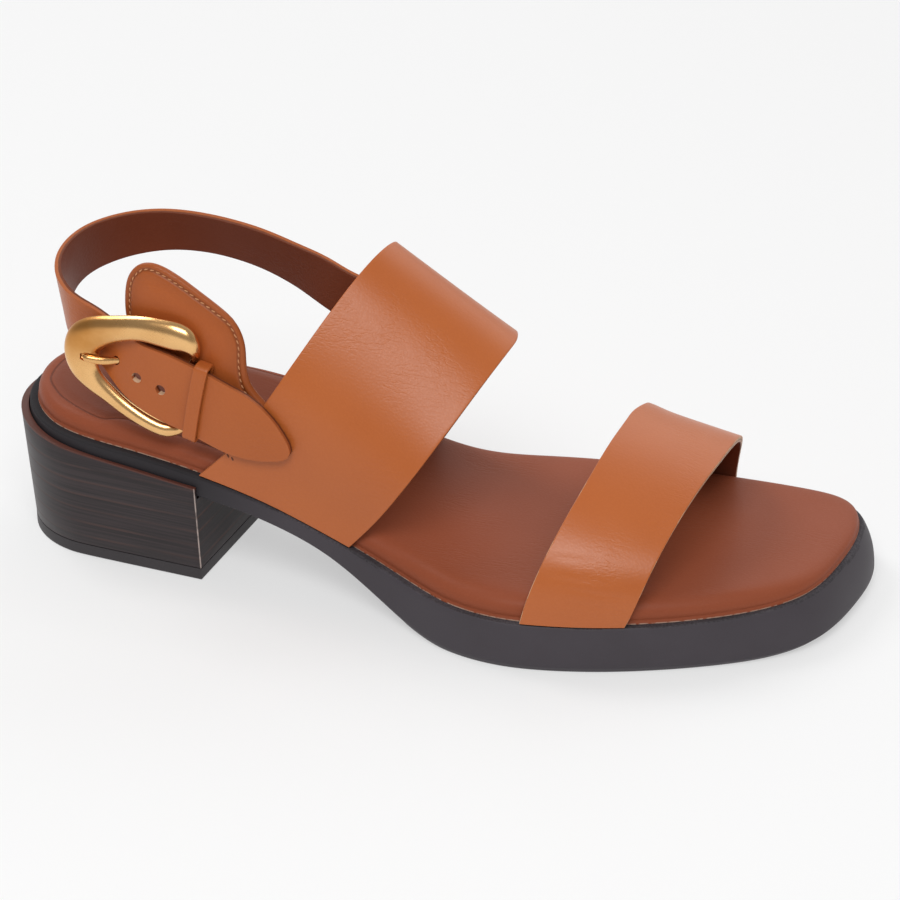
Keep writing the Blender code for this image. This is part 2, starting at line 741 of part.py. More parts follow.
def prong_section(station, clearance=0.0):
    """The prong's round section, with room round it when it cuts a slot."""
    stand_off, radius = station[2:]
    section = []
    for i in range(PRONG_POINTS):
        angle = 2 * math.pi * i / PRONG_POINTS
        reach = radius + clearance
        section.append((reach * math.cos(angle), stand_off + reach * math.sin(angle)))
    return section


def slot_section(station):
    """The prong's section with room round it."""
    return prong_section(station, GAP)


def build_heel_strap(collection, cutters, finish):
    """The strap round the heel, with the prong's slot and two more holes."""
    keys = strap_rows()
    middle = path_curve([row[STRAP_COLUMNS // 2] for row in keys])
    columns = [Curve(middle.knots, list(column)) for column in zip(*keys)]
    rows = []
    for i, (a, b) in enumerate(zip(middle.knots, middle.knots[1:])):
        length = (middle.values[i + 1] - middle.values[i]).length
        steps = max(1, round(length / STRAP_STEP))
        rows += [[column.at(a + (b - a) * n / steps) for column in columns] for n in range(steps)]
    rows.append(keys[-1])
    strap = add_sheet("heel_strap", collection, finish, rows, STRAP_THICKNESS)
    slot = tube(PRONG[2:], slot_section, PRONG_STEPS, False)
    cut(strap, add_block("prong_slot", cutters, None, slot))
    for n, (x, z) in enumerate(HOLE_PLACES):
        middle, out = on_wall(x, z, LEAF_END[5].stand_off)
        side = out.cross(Vector((0, 0, 1))).normalized()
        up = side.cross(out)
        rings = []
        for depth in (-HOLE_DEPTH / 2, HOLE_DEPTH / 2):
            circle = []
            for i in range(PRONG_POINTS):
                angle = 2 * math.pi * i / PRONG_POINTS
                circle.append(middle + out * depth
                              + (side * math.cos(angle) + up * math.sin(angle)) * HOLE_RADIUS)
            rings.append(circle)
        cut(strap, add_block("hole_%d" % (n + 1), cutters, None, rings))
    return strap


def build_pad(collection, finish):
    """The padded leaf behind the buckle, tucked inside the instep band at its front."""
    outline = [Vector(place) for place in PAD_OUTLINE]
    curve = path_curve(outline[-1:] + outline + outline[:2])
    loop = even_points(curve, curve.knots[1], curve.knots[-2], PAD_POINTS)[:-1]
    centre = Vector(PAD_MIDDLE)
    heart = PAD_OUTER - PAD_THICKNESS / 2
    layers = [(row.share, -row.depth) for row in PAD_ROUND]
    layers += [(row.share, row.depth) for row in reversed(PAD_ROUND[:-1])]
    rings = []
    for share, depth in layers:
        places = [centre.lerp(p, share) for p in loop]
        rings.append([on_wall(p.x, p.y, heart + depth * PAD_THICKNESS)[0] for p in places])
    return add_block("buckle_pad", collection, finish, rings)


def rounded_slot(low, high, corner):
    """A rectangle with round corners between two corners, as a closed loop."""
    loop = []
    middles = (
        (high.x - corner, high.y - corner), (low.x + corner, high.y - corner),
        (low.x + corner, low.y + corner), (high.x - corner, low.y + corner),
    )
    for quarter, (x, y) in enumerate(middles):
        for i in range(KEEPER_CORNER_SPANS + 1):
            angle = math.pi / 2 * (quarter + i / KEEPER_CORNER_SPANS)
            loop.append(Vector((x + corner * math.cos(angle), y + corner * math.sin(angle))))
        if quarter % 2 == 0:
            start = loop[-1]
            run = (low.x - high.x + 2 * corner) * (1 if quarter == 0 else -1)
            for i in range(1, KEEPER_SIDE_SPANS):
                loop.append(start + Vector((run * i / KEEPER_SIDE_SPANS, 0)))
    return loop


def build_keeper(collection, finish):
    """The leather loop that holds down the strap's end."""
    low = Vector((KEEPER_REACH[0], KEEPER_STAND_OFF[0]))
    high = Vector((KEEPER_REACH[1], KEEPER_STAND_OFF[1]))
    wall = Vector((KEEPER_THICKNESS, KEEPER_THICKNESS))
    outer = rounded_slot(low, high, KEEPER_CORNER)
    inner = rounded_slot(low + wall, high - wall, KEEPER_CORNER - KEEPER_THICKNESS)
    along = Vector((KEEPER_UP.y, -KEEPER_UP.x))
    rings = []
    for loop, side in ((outer, -0.5), (outer, 0.5), (inner, 0.5), (inner, -0.5)):
        places = [(KEEPER_MIDDLE + KEEPER_UP * p.x + along * side * KEEPER_WIDTH, p.y) for p in loop]
        rings.append([on_wall(place.x, place.y, stand_off)[0] for place, stand_off in places])
    points, faces = loft(rings, wrap=True)
    return add_mesh("keeper_loop", collection, finish, points, faces)


def build_buckle(collection, cutters, finish):
    """The cast frame with its notch, and the prong that rests in it."""
    points, faces = loft(tube(FRAME, frame_section, FRAME_STEPS, True), wrap=True)
    frame = add_mesh("buckle_frame", collection, finish, points, faces)
    add_block("buckle_prong", collection, finish, tube(PRONG, prong_section, PRONG_STEPS, False))
    notch = tube(PRONG[4:-1] + (PRONG_ROOM,), slot_section, PRONG_STEPS, False)
    cut(frame, add_block("prong_notch", cutters, None, notch))


def main():
    """Builds every piece of the sandal."""
    for leftover in list(bpy.data.objects):
        bpy.data.objects.remove(leftover)
    sandal = new_collection("sandal")
    cutters = new_collection("cutters")
    tan = material("tan_leather", (0.45, 0.14, 0.045), 0.45)
    brown = material("footbed_leather", (0.20, 0.055, 0.025), 0.5)
    rubber = material("charcoal_rubber", (0.06, 0.054, 0.06), 0.6)
    stack = material("stacked_heel", (0.038, 0.03, 0.03), 0.45)
    gold = material("antique_gold", (0.58, 0.36, 0.14), 0.3, 1.0)

    build_outsole(sandal, rubber)
    build_footbed(sandal, brown)
    build_heel(sandal, cutters, stack, rubber)
    build_band("toe_strap", sandal, tan, TOE_BAND)
    build_band("instep_strap", sandal, tan, INSTEP_BAND)
    build_heel_strap(sandal, cutters, tan)
    build_pad(sandal, tan)
    build_keeper(sandal, tan)
    build_buckle(sandal, cutters, gold)


if __name__ == "__main__":
    main()
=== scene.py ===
"""Looks of a right-foot slingback sandal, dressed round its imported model.

Each class dresses one sub-assembly: it refines a copy of the node's mesh, shapes it and gives
it its finishes. Lengths are in millimetres until they reach a mesh. +X runs to the toe, +Y to
the inner (medial) side of the foot and +Z up. In a finish, a span holds the two ends of a soft
step, a share says how much of a colour or value comes in, and a run stretches a pattern.
"""

import json
import logging
import math
from dataclasses import dataclass
from enum import Enum, IntEnum
from typing import Mapping, Optional, Sequence, Union

import bmesh
import bpy
import numpy as np
from bpy.types import Material, Node, NodeSocket, NodeTree, Object
from mathutils import Matrix, Vector
from mathutils.bvhtree import BVHTree
from mathutils.kdtree import KDTree

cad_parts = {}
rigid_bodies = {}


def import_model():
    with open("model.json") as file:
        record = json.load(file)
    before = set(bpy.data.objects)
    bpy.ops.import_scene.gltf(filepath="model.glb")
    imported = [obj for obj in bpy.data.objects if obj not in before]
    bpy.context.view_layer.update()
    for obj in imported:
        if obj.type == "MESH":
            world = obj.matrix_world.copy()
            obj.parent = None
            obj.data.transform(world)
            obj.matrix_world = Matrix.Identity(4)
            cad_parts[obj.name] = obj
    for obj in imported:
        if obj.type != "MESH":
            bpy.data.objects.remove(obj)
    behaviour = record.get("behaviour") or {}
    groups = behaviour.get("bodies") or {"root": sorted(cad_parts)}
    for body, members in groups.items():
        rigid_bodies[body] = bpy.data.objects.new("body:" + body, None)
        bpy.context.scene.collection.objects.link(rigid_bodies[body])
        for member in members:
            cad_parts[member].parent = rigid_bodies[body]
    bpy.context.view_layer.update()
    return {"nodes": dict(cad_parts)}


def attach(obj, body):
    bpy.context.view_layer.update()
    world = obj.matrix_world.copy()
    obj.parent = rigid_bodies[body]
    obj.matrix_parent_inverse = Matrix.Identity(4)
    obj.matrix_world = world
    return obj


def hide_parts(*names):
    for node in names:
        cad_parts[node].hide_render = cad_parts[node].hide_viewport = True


for leftover in list(bpy.data.objects):
    bpy.data.objects.remove(leftover)
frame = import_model()

LOG = logging.getLogger("sandal")
MM = 0.001
BROAD_SIDES = 2
SHARP = math.radians(50)
WELD = 0.005
QUAD_TURN = math.radians(25)
QUAD_SHAPE = math.radians(70)
STRAIGHT_DOWN = -0.95
CLEAR_OF_SHOE = 100.0
TINY = 1e-9

Colour = tuple[float, float, float]
Place = tuple[float, float]
Span = tuple[float, float]
Triple = tuple[float, float, float]
Number = Union[float, "Term"]


class Slot(Enum):
    """The record's material slots."""

    SOLE = "sole_rubber"
    HEEL = "heel_stack"
    LIFT = "heel_rubber"
    FOOTBED = "footbed_leather"
    STRAP = "strap_leather"
    BUCKLE = "buckle_gold"


class SoleFace(IntEnum):
    """The material slots of the sole."""

    WALL = 0
    LEDGE = 1
    TREAD = 2


class HeelFace(IntEnum):
    """The material slots of the heel block."""

    STACK = 0
    BREAST = 1


class Side(IntEnum):
    """The material slots of a lined strap."""

    OUTER = 0
    LINING = 1
    EDGE = 2
    RAW = 3


class Term:
    """A shader value that sums like a number: each operator adds one Math node."""

    def __init__(self, graph: "Graph", socket: NodeSocket) -> None:
        """Wraps an output socket of a graph."""
        self.graph = graph
        self.socket = socket

    def __add__(self, other: Number) -> "Term":
        """Sum."""
        return self.graph.math("ADD", self, other)

    def __sub__(self, other: Number) -> "Term":
        """Difference."""
        return self.graph.math("SUBTRACT", self, other)

    def __rsub__(self, other: Number) -> "Term":
        """Difference from a number on the left."""
        return self.graph.math("SUBTRACT", other, self)

    def __mul__(self, other: Number) -> "Term":
        """Product."""
        return self.graph.math("MULTIPLY", self, other)

    def __truediv__(self, other: Number) -> "Term":
        """Quotient."""
        return self.graph.math("DIVIDE", self, other)

    def __abs__(self) -> "Term":
        """Size without sign."""
        return self.graph.math("ABSOLUTE", self)

    def rest(self) -> "Term":
        """What is left after the whole number."""
        return self.graph.math("FRACT", self)

    def ramp(self, low: float, high: float) -> "Term":
        """A soft step from 0 at low to 1 at high."""
        node = self.graph.node(
            "ShaderNodeMapRange",
            {"interpolation_type": "SMOOTHSTEP"},
            {"Value": self, "From Min": low, "From Max": high},
        )
        return Term(self.graph, node.outputs["Result"])


class Graph:
    """The nodes of one material or of the surroundings."""

    PEBBLE_SMOOTHNESS = 0.35
    PEBBLE_FALL = (0.1, 0.75)

    def __init__(self, tree: NodeTree, coordinates: str = "Object") -> None:
        """Starts on a tree with its default shader."""
        self.tree = tree
        self.place = self.node("ShaderNodeTexCoord").outputs[coordinates]

    def node(
        self,
        kind: str,
        settings: Optional[Mapping[str, object]] = None,
        inputs: Optional[Mapping[Union[str, int], object]] = None,
    ) -> Node:
        """Adds a node.

        Args:
            kind: the node's type.
            settings: the node's own properties, which are set first.
            inputs: a value, a socket or a term for each input socket.

        Returns:
            The new node.
        """
        made = self.tree.nodes.new(kind)
        for key, value in (settings or {}).items():
            setattr(made, key, value)
        for key, value in (inputs or {}).items():
            self.feed(made.inputs[key], value)
        return made

    def feed(self, socket: NodeSocket, value: object) -> None:
        """Links a term or socket to an input, or sets the input to a plain value.

        Args:
            socket: the input socket.
            value: a term, a socket or a plain value.
        """
        if isinstance(value, Term):
            self.tree.links.new(value.socket, socket)
        elif isinstance(value, NodeSocket):
            self.tree.links.new(value, socket)
        else:
            socket.default_value = value

    def math(self, operation: str, first: Number, second: Number = 0.0) -> Term:
        """A Math node on one or two values."""
        node = self.node("ShaderNodeMath", {"operation": operation}, {0: first, 1: second})
        return Term(self, node.outputs[0])

    def stretched(self, scale: Sequence[float], turn: Sequence[float] = (0.0, 0.0, 0.0)) -> NodeSocket:
        """Object coordinates, turned in degrees and scaled along each axis.

        Args:
            scale: the factor along each axis.
            turn: the turn about each axis, in degrees.

        Returns:
            The new coordinates.
        """
        angles = [math.radians(angle) for angle in turn]
        node = self.node(
            "ShaderNodeMapping", {}, {"Vector": self.place, "Rotation": angles, "Scale": scale}
        )
        return node.outputs["Vector"]

    def noise(self, size: float, detail: float = 2.0, place: Optional[NodeSocket] = None) -> Term:
        """Soft noise with features of a size in millimetres."""
        node = self.node(
            "ShaderNodeTexNoise",
            {},
            {"Vector": place or self.place, "Scale": 1 / (size * MM), "Detail": detail},
        )
        return Term(self, node.outputs["Fac"])

    def pebbles(self, size: float) -> Term:
        """Soft pebbles of a size in millimetres: 1 on their tops and 0 in the valleys."""
        node = self.node(
            "ShaderNodeTexVoronoi",
            {"feature": "SMOOTH_F1"},
            {"Vector": self.place, "Scale": 1 / (size * MM), "Smoothness": self.PEBBLE_SMOOTHNESS},
        )
        return 1 - Term(self, node.outputs["Distance"]).ramp(*self.PEBBLE_FALL)

    def axes(self) -> tuple[Term, Term, Term]:
        """The object coordinates in millimetres.

        Returns:
            One term for each axis.
        """
        node = self.node("ShaderNodeSeparateXYZ", {}, {0: self.place})
        x, y, z = (Term(self, output) * (1 / MM) for output in node.outputs)
        return x, y, z

    def attribute(self, name: str) -> Term:
        """A number that the mesh carries at its points."""
        node = self.node("ShaderNodeAttribute", {"attribute_name": name})
        return Term(self, node.outputs["Fac"])

    def from_line(self, start: Sequence[float], end: Sequence[float]) -> Term:
        """Distance in millimetres from a straight line through two points.

        Args:
            start: one point of the line, in millimetres.
            end: another point of the line.

        Returns:
            The distance.
        """
        along = (Vector(end) - Vector(start)).normalized()
        offset = self.node(
            "ShaderNodeVectorMath", {"operation": "SUBTRACT"}, {0: self.place, 1: Vector(start) * MM}
        )
        across = self.node(
            "ShaderNodeVectorMath", {"operation": "CROSS_PRODUCT"}, {0: offset.outputs[0], 1: along}
        )
        size = self.node("ShaderNodeVectorMath", {"operation": "LENGTH"}, {0: across.outputs[0]})
        return Term(self, size.outputs["Value"]) * (1 / MM)

    def mix(self, share: Term, first: object, second: object) -> NodeSocket:
        """A colour between two others.

        Args:
            share: 0 for the first colour and 1 for the second.
            first: a plain colour or a socket.
            second: a plain colour or a socket.

        Returns:
            The mixed colour.
        """
        ends = [(*colour, 1.0) if isinstance(colour, tuple) else colour for colour in (first, second)]
        node = self.node("ShaderNodeMix", {"data_type": "RGBA"}, {0: share, 6: ends[0], 7: ends[1]})
        return node.outputs[2]


class Surface(Graph):
    """The nodes of one finish, which end in a Principled BSDF."""

    def __init__(self, name: str, specular: float = 0.5, metallic: float = 0.0) -> None:
        """Starts a material with its default shader and two plain settings of it.

        Args:
            name: the finish's name.
            specular: how strongly its surface reflects.
            metallic: 1 for metal.
        """
        self.material = bpy.data.materials.new(name)
        self.material.use_nodes = True
        super().__init__(self.material.node_tree)
        self.shader = self.tree.nodes["Principled BSDF"]
        self.shader.inputs["Specular IOR Level"].default_value = specular
        self.shader.inputs["Metallic"].default_value = metallic

    def finish(self, colour: object, roughness: Number, height: Optional[Term] = None) -> Material:
        """Links colour, roughness and a height in millimetres to the shader.

        Args:
            colour: a socket or a plain colour.
            roughness: a term or a number.
            height: relief in millimetres.

        Returns:
            The finished material.
        """
        self.feed(self.shader.inputs["Base Color"], colour)
        self.feed(self.shader.inputs["Roughness"], roughness)
        if height is not None:
            bump = self.node("ShaderNodeBump", {}, {"Strength": 1.0, "Distance": MM, "Height": height})
            self.feed(self.shader.inputs["Normal"], bump.outputs["Normal"])
        return self.material


@dataclass(frozen=True)
class Leather:
    """Smooth leather with a fine grain and faint wrinkles that run one way."""

    name: str
    colour: Colour
    shade: Colour
    roughness: float = 0.38
    grain: float = 0.75
    grain_depth: float = 0.011
    wrinkle: float = 1.6
    wrinkle_depth: float = 0.03
    wrinkle_scale: Triple = (0.22, 1.0, 1.0)
    specular: float = 0.4
    pore: float = 0.3
    pore_share: float = 0.6
    wrinkle_width: float = 0.16
    worn_patch: float = 22.0
    worn_span: Span = (0.42, 0.66)
    mottle: float = 34.0
    mottle_span: Span = (0.2, 0.8)
    tone_shares: Triple = (0.55, 0.2, 0.25)
    sheen: float = 12.0
    sheen_range: float = 0.08
    polish: float = 0.03

    def make(self) -> Material:
        """Builds the material.

        Returns:
            The finished material.
        """
        graph = Surface(self.name, self.specular)
        pebbles = graph.pebbles(self.grain)
        pores = graph.noise(self.pore, 1.0)
        run = graph.stretched(self.wrinkle_scale)
        line = abs(graph.noise(self.wrinkle, 3.0, run) * 2 - 1)
        patch = graph.noise(self.worn_patch, 1.0).ramp(*self.worn_span)
        wrinkles = (1 - line.ramp(0.0, self.wrinkle_width)) * patch
        pore_depth = self.grain_depth * self.pore_share
        height = pebbles * self.grain_depth + pores * pore_depth - wrinkles * self.wrinkle_depth
        of_mottle, of_pebbles, of_pores = self.tone_shares
        mottle = graph.noise(self.mottle).ramp(*self.mottle_span)
        tone = mottle * of_mottle + pebbles * of_pebbles + pores * of_pores
        colour = graph.mix(tone, self.shade, self.colour)
        dullness = self.roughness - self.sheen_range / 2
        roughness = graph.noise(self.sheen) * self.sheen_range + dullness - pebbles * self.polish
        colour, height = self.worked(graph, colour, height)
        return graph.finish(colour, roughness, height)

    def worked(self, graph: Graph, colour: NodeSocket, height: Term) -> tuple[NodeSocket, Term]:
        """Adds what a maker pressed or sewed into the leather: nothing on plain leather."""
        return colour, height


@dataclass(frozen=True)
class EdgeLeather(Leather):
    """A strap's cut edge: the outer leather, a glue groove and the lining leather under it."""

    lining: Colour = (0.15, 0.04, 0.018)
    groove: Colour = (0.09, 0.025, 0.012)
    split: float = 0.95
    blend: float = 0.2
    waver: float = 2.0
    waver_range: float = 0.25
    waver_mean: float = 0.12
    groove_span: Span = (0.04, 0.2)
    groove_share: float = 0.7
    groove_depth: float = 0.08

    def worked(self, graph: Graph, colour: NodeSocket, height: Term) -> tuple[NodeSocket, Term]:
        """Colours the layers by their depth under the outer face.

        Args:
            graph: the finish's nodes.
            colour: the outer leather's colour.
            height: the plain leather's relief.

        Returns:
            The colour and relief with the layers.
        """
        waver = graph.noise(self.waver) * self.waver_range - self.waver_mean
        depth = graph.attribute("skin_mm") + waver
        colour = graph.mix(depth.ramp(self.split, self.split + self.blend), colour, self.lining)
        groove = 1 - abs(depth - self.split).ramp(*self.groove_span)
        colour = graph.mix(groove * self.groove_share, colour, self.groove)
        return colour, height - groove * self.groove_depth


@dataclass(frozen=True)
class PadLeather(Leather):
    """Leather that dips along a line of stitching, with painted shade in that channel and along its edge."""

    pad_shade: Colour = (0.16, 0.042, 0.014)
    seam_inset: float = 2.0
    edge_shade_span: Span = (1.0, 7.0)
    edge_shade_share: float = 0.26
    channel_span: Span = (0.1, 0.75)
    channel_shade_share: float = 0.6
    channel_depth: float = 0.1

    def worked(self, graph: Graph, colour: NodeSocket, height: Term) -> tuple[NodeSocket, Term]:
        """Draws the stitch line's needle-marked channel, with painted shade in it and along the edge.

        Args:
            graph: the finish's nodes.
            colour: the plain leather's colour.
            height: the plain leather's relief.

        Returns:
            The colour and relief with the channel.
        """
        edge = graph.attribute("edge_mm")
        # Painted shade: darker toward the pad's edge, where the domed pad turns away from the light.
        colour = graph.mix((1 - edge.ramp(*self.edge_shade_span)) * self.edge_shade_share, colour, self.pad_shade)
        # Painted shade in the pressed stitch channel.
        channel = 1 - abs(edge - self.seam_inset).ramp(*self.channel_span)
        colour = graph.mix(channel * self.channel_shade_share, colour, self.pad_shade)
        return colour, height - channel * self.channel_depth


@dataclass(frozen=True)
class FootbedLeather(Leather):
    """Footbed leather with a pressed heel-pad line darkened by painted shade, and a pale raw edge at its
    foot.
    """

    pad: Colour = (0.125, 0.04, 0.026)
    crease: Colour = (0.05, 0.015, 0.009)
    raw: Colour = (0.55, 0.38, 0.29)
    pad_span: Span = (-0.4, 1.5)
    pad_share: float = 0.4
    line_span: Span = (0.1, 0.5)
    line_share: float = 0.5
    line_depth: float = 0.15
    foot_span: Span = (0.16, 0.36)
    fray: float = 1.6
    fray_span: Span = (0.36, 0.56)
    fray_share: float = 0.85

    def worked(self, graph: Graph, colour: NodeSocket, height: Term) -> tuple[NodeSocket, Term]:
        """Presses the heel-pad line, paints shade into it and frays the foot of the edge.

        Args:
            graph: the finish's nodes.
            colour: the plain leather's colour.
            height: the plain leather's relief.

        Returns:
            The colour and relief with both.
        """
        inside = graph.attribute("heel_pad_mm")
        line = 1 - abs(inside).ramp(*self.line_span)
        colour = graph.mix(inside.ramp(*self.pad_span) * self.pad_share, colour, self.pad)
        # Painted shade: the crease colour darkens the pressed heel-pad groove.
        colour = graph.mix(line * self.line_share, colour, self.crease)
        foot = 1 - graph.attribute("seat_mm").ramp(*self.foot_span)
        frayed = foot * graph.noise(self.fray, 3.0).ramp(*self.fray_span)
        colour = graph.mix(frayed * self.fray_share, colour, self.raw)
        return colour, height - line * self.line_depth


@dataclass(frozen=True)
class Rubber:
    """Moulded rubber with a fine dull texture."""

    name: str
    colour: Colour
    shade: Colour
    roughness: float = 0.55
    texture: float = 0.35
    texture_depth: float = 0.012
    ribs: float = 0.0
    rib_depth: float = 0.0
    specular: float = 0.25
    speckled: float = 0.4
    heel: Optional[Colour] = None
    heel_span: Span = (-66.0, -30.0)
    cloud: float = 16.0
    tone_span: Span = (0.3, 0.7)
    cloud_range: float = 0.14
    speckle_range: float = 0.08
    rib_slant: float = 0.25
    rib_span: Span = (0.25, 0.55)
    rib_fade: Span = (0.05, 0.5)

    def make(self) -> Material:
        """Builds the material.

        Returns:
            The finished material.
        """
        graph = Surface(self.name, self.specular)
        speckle = graph.noise(self.texture)
        cloud = graph.noise(self.cloud, 3.0)
        height = speckle * self.texture_depth
        x, y, z = graph.axes()
        if self.ribs:
            wave = abs(((x + y * self.rib_slant) / self.ribs).rest() - 0.5) * 2
            height = height + wave.ramp(*self.rib_span) * (1 - z.ramp(*self.rib_fade)) * self.rib_depth
        clouded = cloud.ramp(*self.tone_span) * (1 - self.speckled)
        tone = clouded + speckle.ramp(*self.tone_span) * self.speckled
        colour = graph.mix(tone, self.shade, self.colour)
        # The heel colour takes over toward the heel end, so the rubber is darker there.
        if self.heel:
            colour = graph.mix(x.ramp(*self.heel_span), self.heel, colour)
        dullness = self.roughness - (self.cloud_range + self.speckle_range) / 2
        roughness = cloud * self.cloud_range + speckle * self.speckle_range + dullness
        return graph.finish(colour, roughness, height)


@dataclass(frozen=True)
class StackedHeel:
    """Dark polished layers with thin brown glue lines, a brown lip line and pale front corners: chipped wear
    with a painted highlight.

    The lip's top is lip_back high at lip_back_x, the back of the heel, and falls by lip_fall for
    each millimetre toward the toe. Each front corner is given by its upper and lower end.
    """

    name: str = "stacked_heel"
    colour: Colour = (0.033, 0.022, 0.0235)
    shade: Colour = (0.0155, 0.0105, 0.0115)
    line: Colour = (0.08, 0.041, 0.034)
    lip: Colour = (0.095, 0.03, 0.02)
    worn_and_highlight: Colour = (0.50, 0.40, 0.36)
    layer: float = 4.7
    line_share: float = 0.55
    specular: float = 0.35
    lip_back: float = 38.0
    lip_back_x: float = -124.64
    lip_fall: float = 0.11394
    lateral_corner: tuple[Triple, Triple] = ((-61.04, -27.9, 30.75), (-60.81, -25.71, 3.7))
    medial_corner: tuple[Triple, Triple] = ((-54.84, 31.18, 30.04), (-55.07, 28.99, 3.7))
    streak_run: Triple = (0.03, 0.03, 1.6)
    streak_span: Span = (0.3, 0.7)
    streak_depth: float = 0.012
    waver: float = 40.0
    waver_height: float = 0.8
    line_span: Span = (0.05, 0.6)
    line_depth: float = 0.02
    fade_run: Triple = (0.05, 0.05, 0.3)
    fade_span: Span = (0.35, 0.65)
    fade_least: float = 0.15
    lip_span: Span = (0.15, 0.65)
    chip: float = 3.0
    chip_span: Span = (0.3, 0.6)
    corner_span: Span = (0.15, 0.4)
    corner_shares: tuple[float, float] = (0.6, 0.25)
    roughness: float = 0.36
    streak_range: float = 0.14
    line_dull: float = 0.1

    def make(self) -> Material:
        """Builds the material.

        Returns:
            The finished material.
        """
        graph = Surface(self.name, self.specular)
        x, _, z = graph.axes()
        streak = graph.noise(1.0, 3.0, graph.stretched(self.streak_run))
        level = (z + graph.noise(self.waver, 1.0) * self.waver_height) / self.layer
        from_line = abs(level.rest() - 0.5) * self.layer
        fade = graph.noise(1.0, 2.0, graph.stretched(self.fade_run)).ramp(*self.fade_span)
        line = (1 - from_line.ramp(*self.line_span)) * (fade * (1 - self.fade_least) + self.fade_least)
        colour = graph.mix(streak.ramp(*self.streak_span), self.shade, self.colour)
        colour = graph.mix(line * self.line_share, colour, self.line)
        below = self.lip_back - (x - self.lip_back_x) * self.lip_fall - z
        colour = graph.mix(1 - below.ramp(*self.lip_span), colour, self.lip)
        # The pale corner lines are chipped wear and, in part, a painted highlight along the front edges.
        chipped = graph.noise(self.chip).ramp(*self.chip_span)
        of_chips, least = self.corner_shares
        for start, end in (self.lateral_corner, self.medial_corner):
            edge = 1 - graph.from_line(start, end).ramp(*self.corner_span)
            colour = graph.mix(edge * (chipped * of_chips + least), colour, self.worn_and_highlight)
        roughness = streak * self.streak_range + self.roughness + line * self.line_dull
        return graph.finish(colour, roughness, streak * self.streak_depth - line * self.line_depth)


@dataclass(frozen=True)
class AntiqueGold:
    """Satin cast gold with a brown bloom, faint brush marks and painted shade that darkens its rear top."""

    name: str = "antique_gold"
    colour: Colour = (0.86, 0.52, 0.225)
    bloom_and_shade: Colour = (0.58, 0.265, 0.072)
    roughness: float = 0.27
    # Where the painted shade lies: toward the rear along x and above a height.
    shade_along: Span = (-92.0, -74.0)
    shade_above: Span = (63.0, 73.0)
    shade_share: float = 0.8
    patch: float = 9.0
    patch_span: Span = (0.35, 0.8)
    patch_share: float = 0.3
    brush: float = 0.5
    brush_run: Triple = (0.2, 1.0, 1.0)
    brush_turn: Triple = (0.0, 20.0, 0.0)
    brush_share: float = 0.1
    brush_depth: float = 0.0015
    bloom_dull: float = 0.08
    brush_dull: float = 0.06
    polish: float = 0.05

    def make(self) -> Material:
        """Builds the material.

        Returns:
            The finished material.
        """
        graph = Surface(self.name, metallic=1.0)
        x, _, z = graph.axes()
        # Painted shade: the rear top takes the bloom colour, standing in for a darker reflection; the noise
        # patches are the real bloom.
        rear = (1 - x.ramp(*self.shade_along)) * z.ramp(*self.shade_above)
        patch = graph.noise(self.patch, 3.0).ramp(*self.patch_span)
        bloom_and_shade = patch * self.patch_share + rear * self.shade_share
        brush = graph.noise(self.brush, 2.0, graph.stretched(self.brush_run, self.brush_turn))
        colour = graph.mix(bloom_and_shade + brush * self.brush_share, self.colour, self.bloom_and_shade)
        roughness = bloom_and_shade * self.bloom_dull + brush * self.brush_dull + (self.roughness - self.polish)
        return graph.finish(colour, roughness, brush * self.brush_depth)


@dataclass(frozen=True)
class Thread:
    """Waxed sewing thread."""

    name: str
    colour: Colour
    shade: Colour
    twist: float = 0.25
    twist_span: Span = (0.3, 0.7)
    twist_depth: float = 0.03
    twist_dull: float = 0.2
    roughness: float = 0.5

    def make(self) -> Material:
        """Builds the material.

        Returns:
            The finished material.
        """
        graph = Surface(self.name)
        twist = graph.noise(self.twist)
        colour = graph.mix(twist.ramp(*self.twist_span), self.shade, self.colour)
        return graph.finish(colour, twist * self.twist_dull + self.roughness, twist * self.twist_depth)


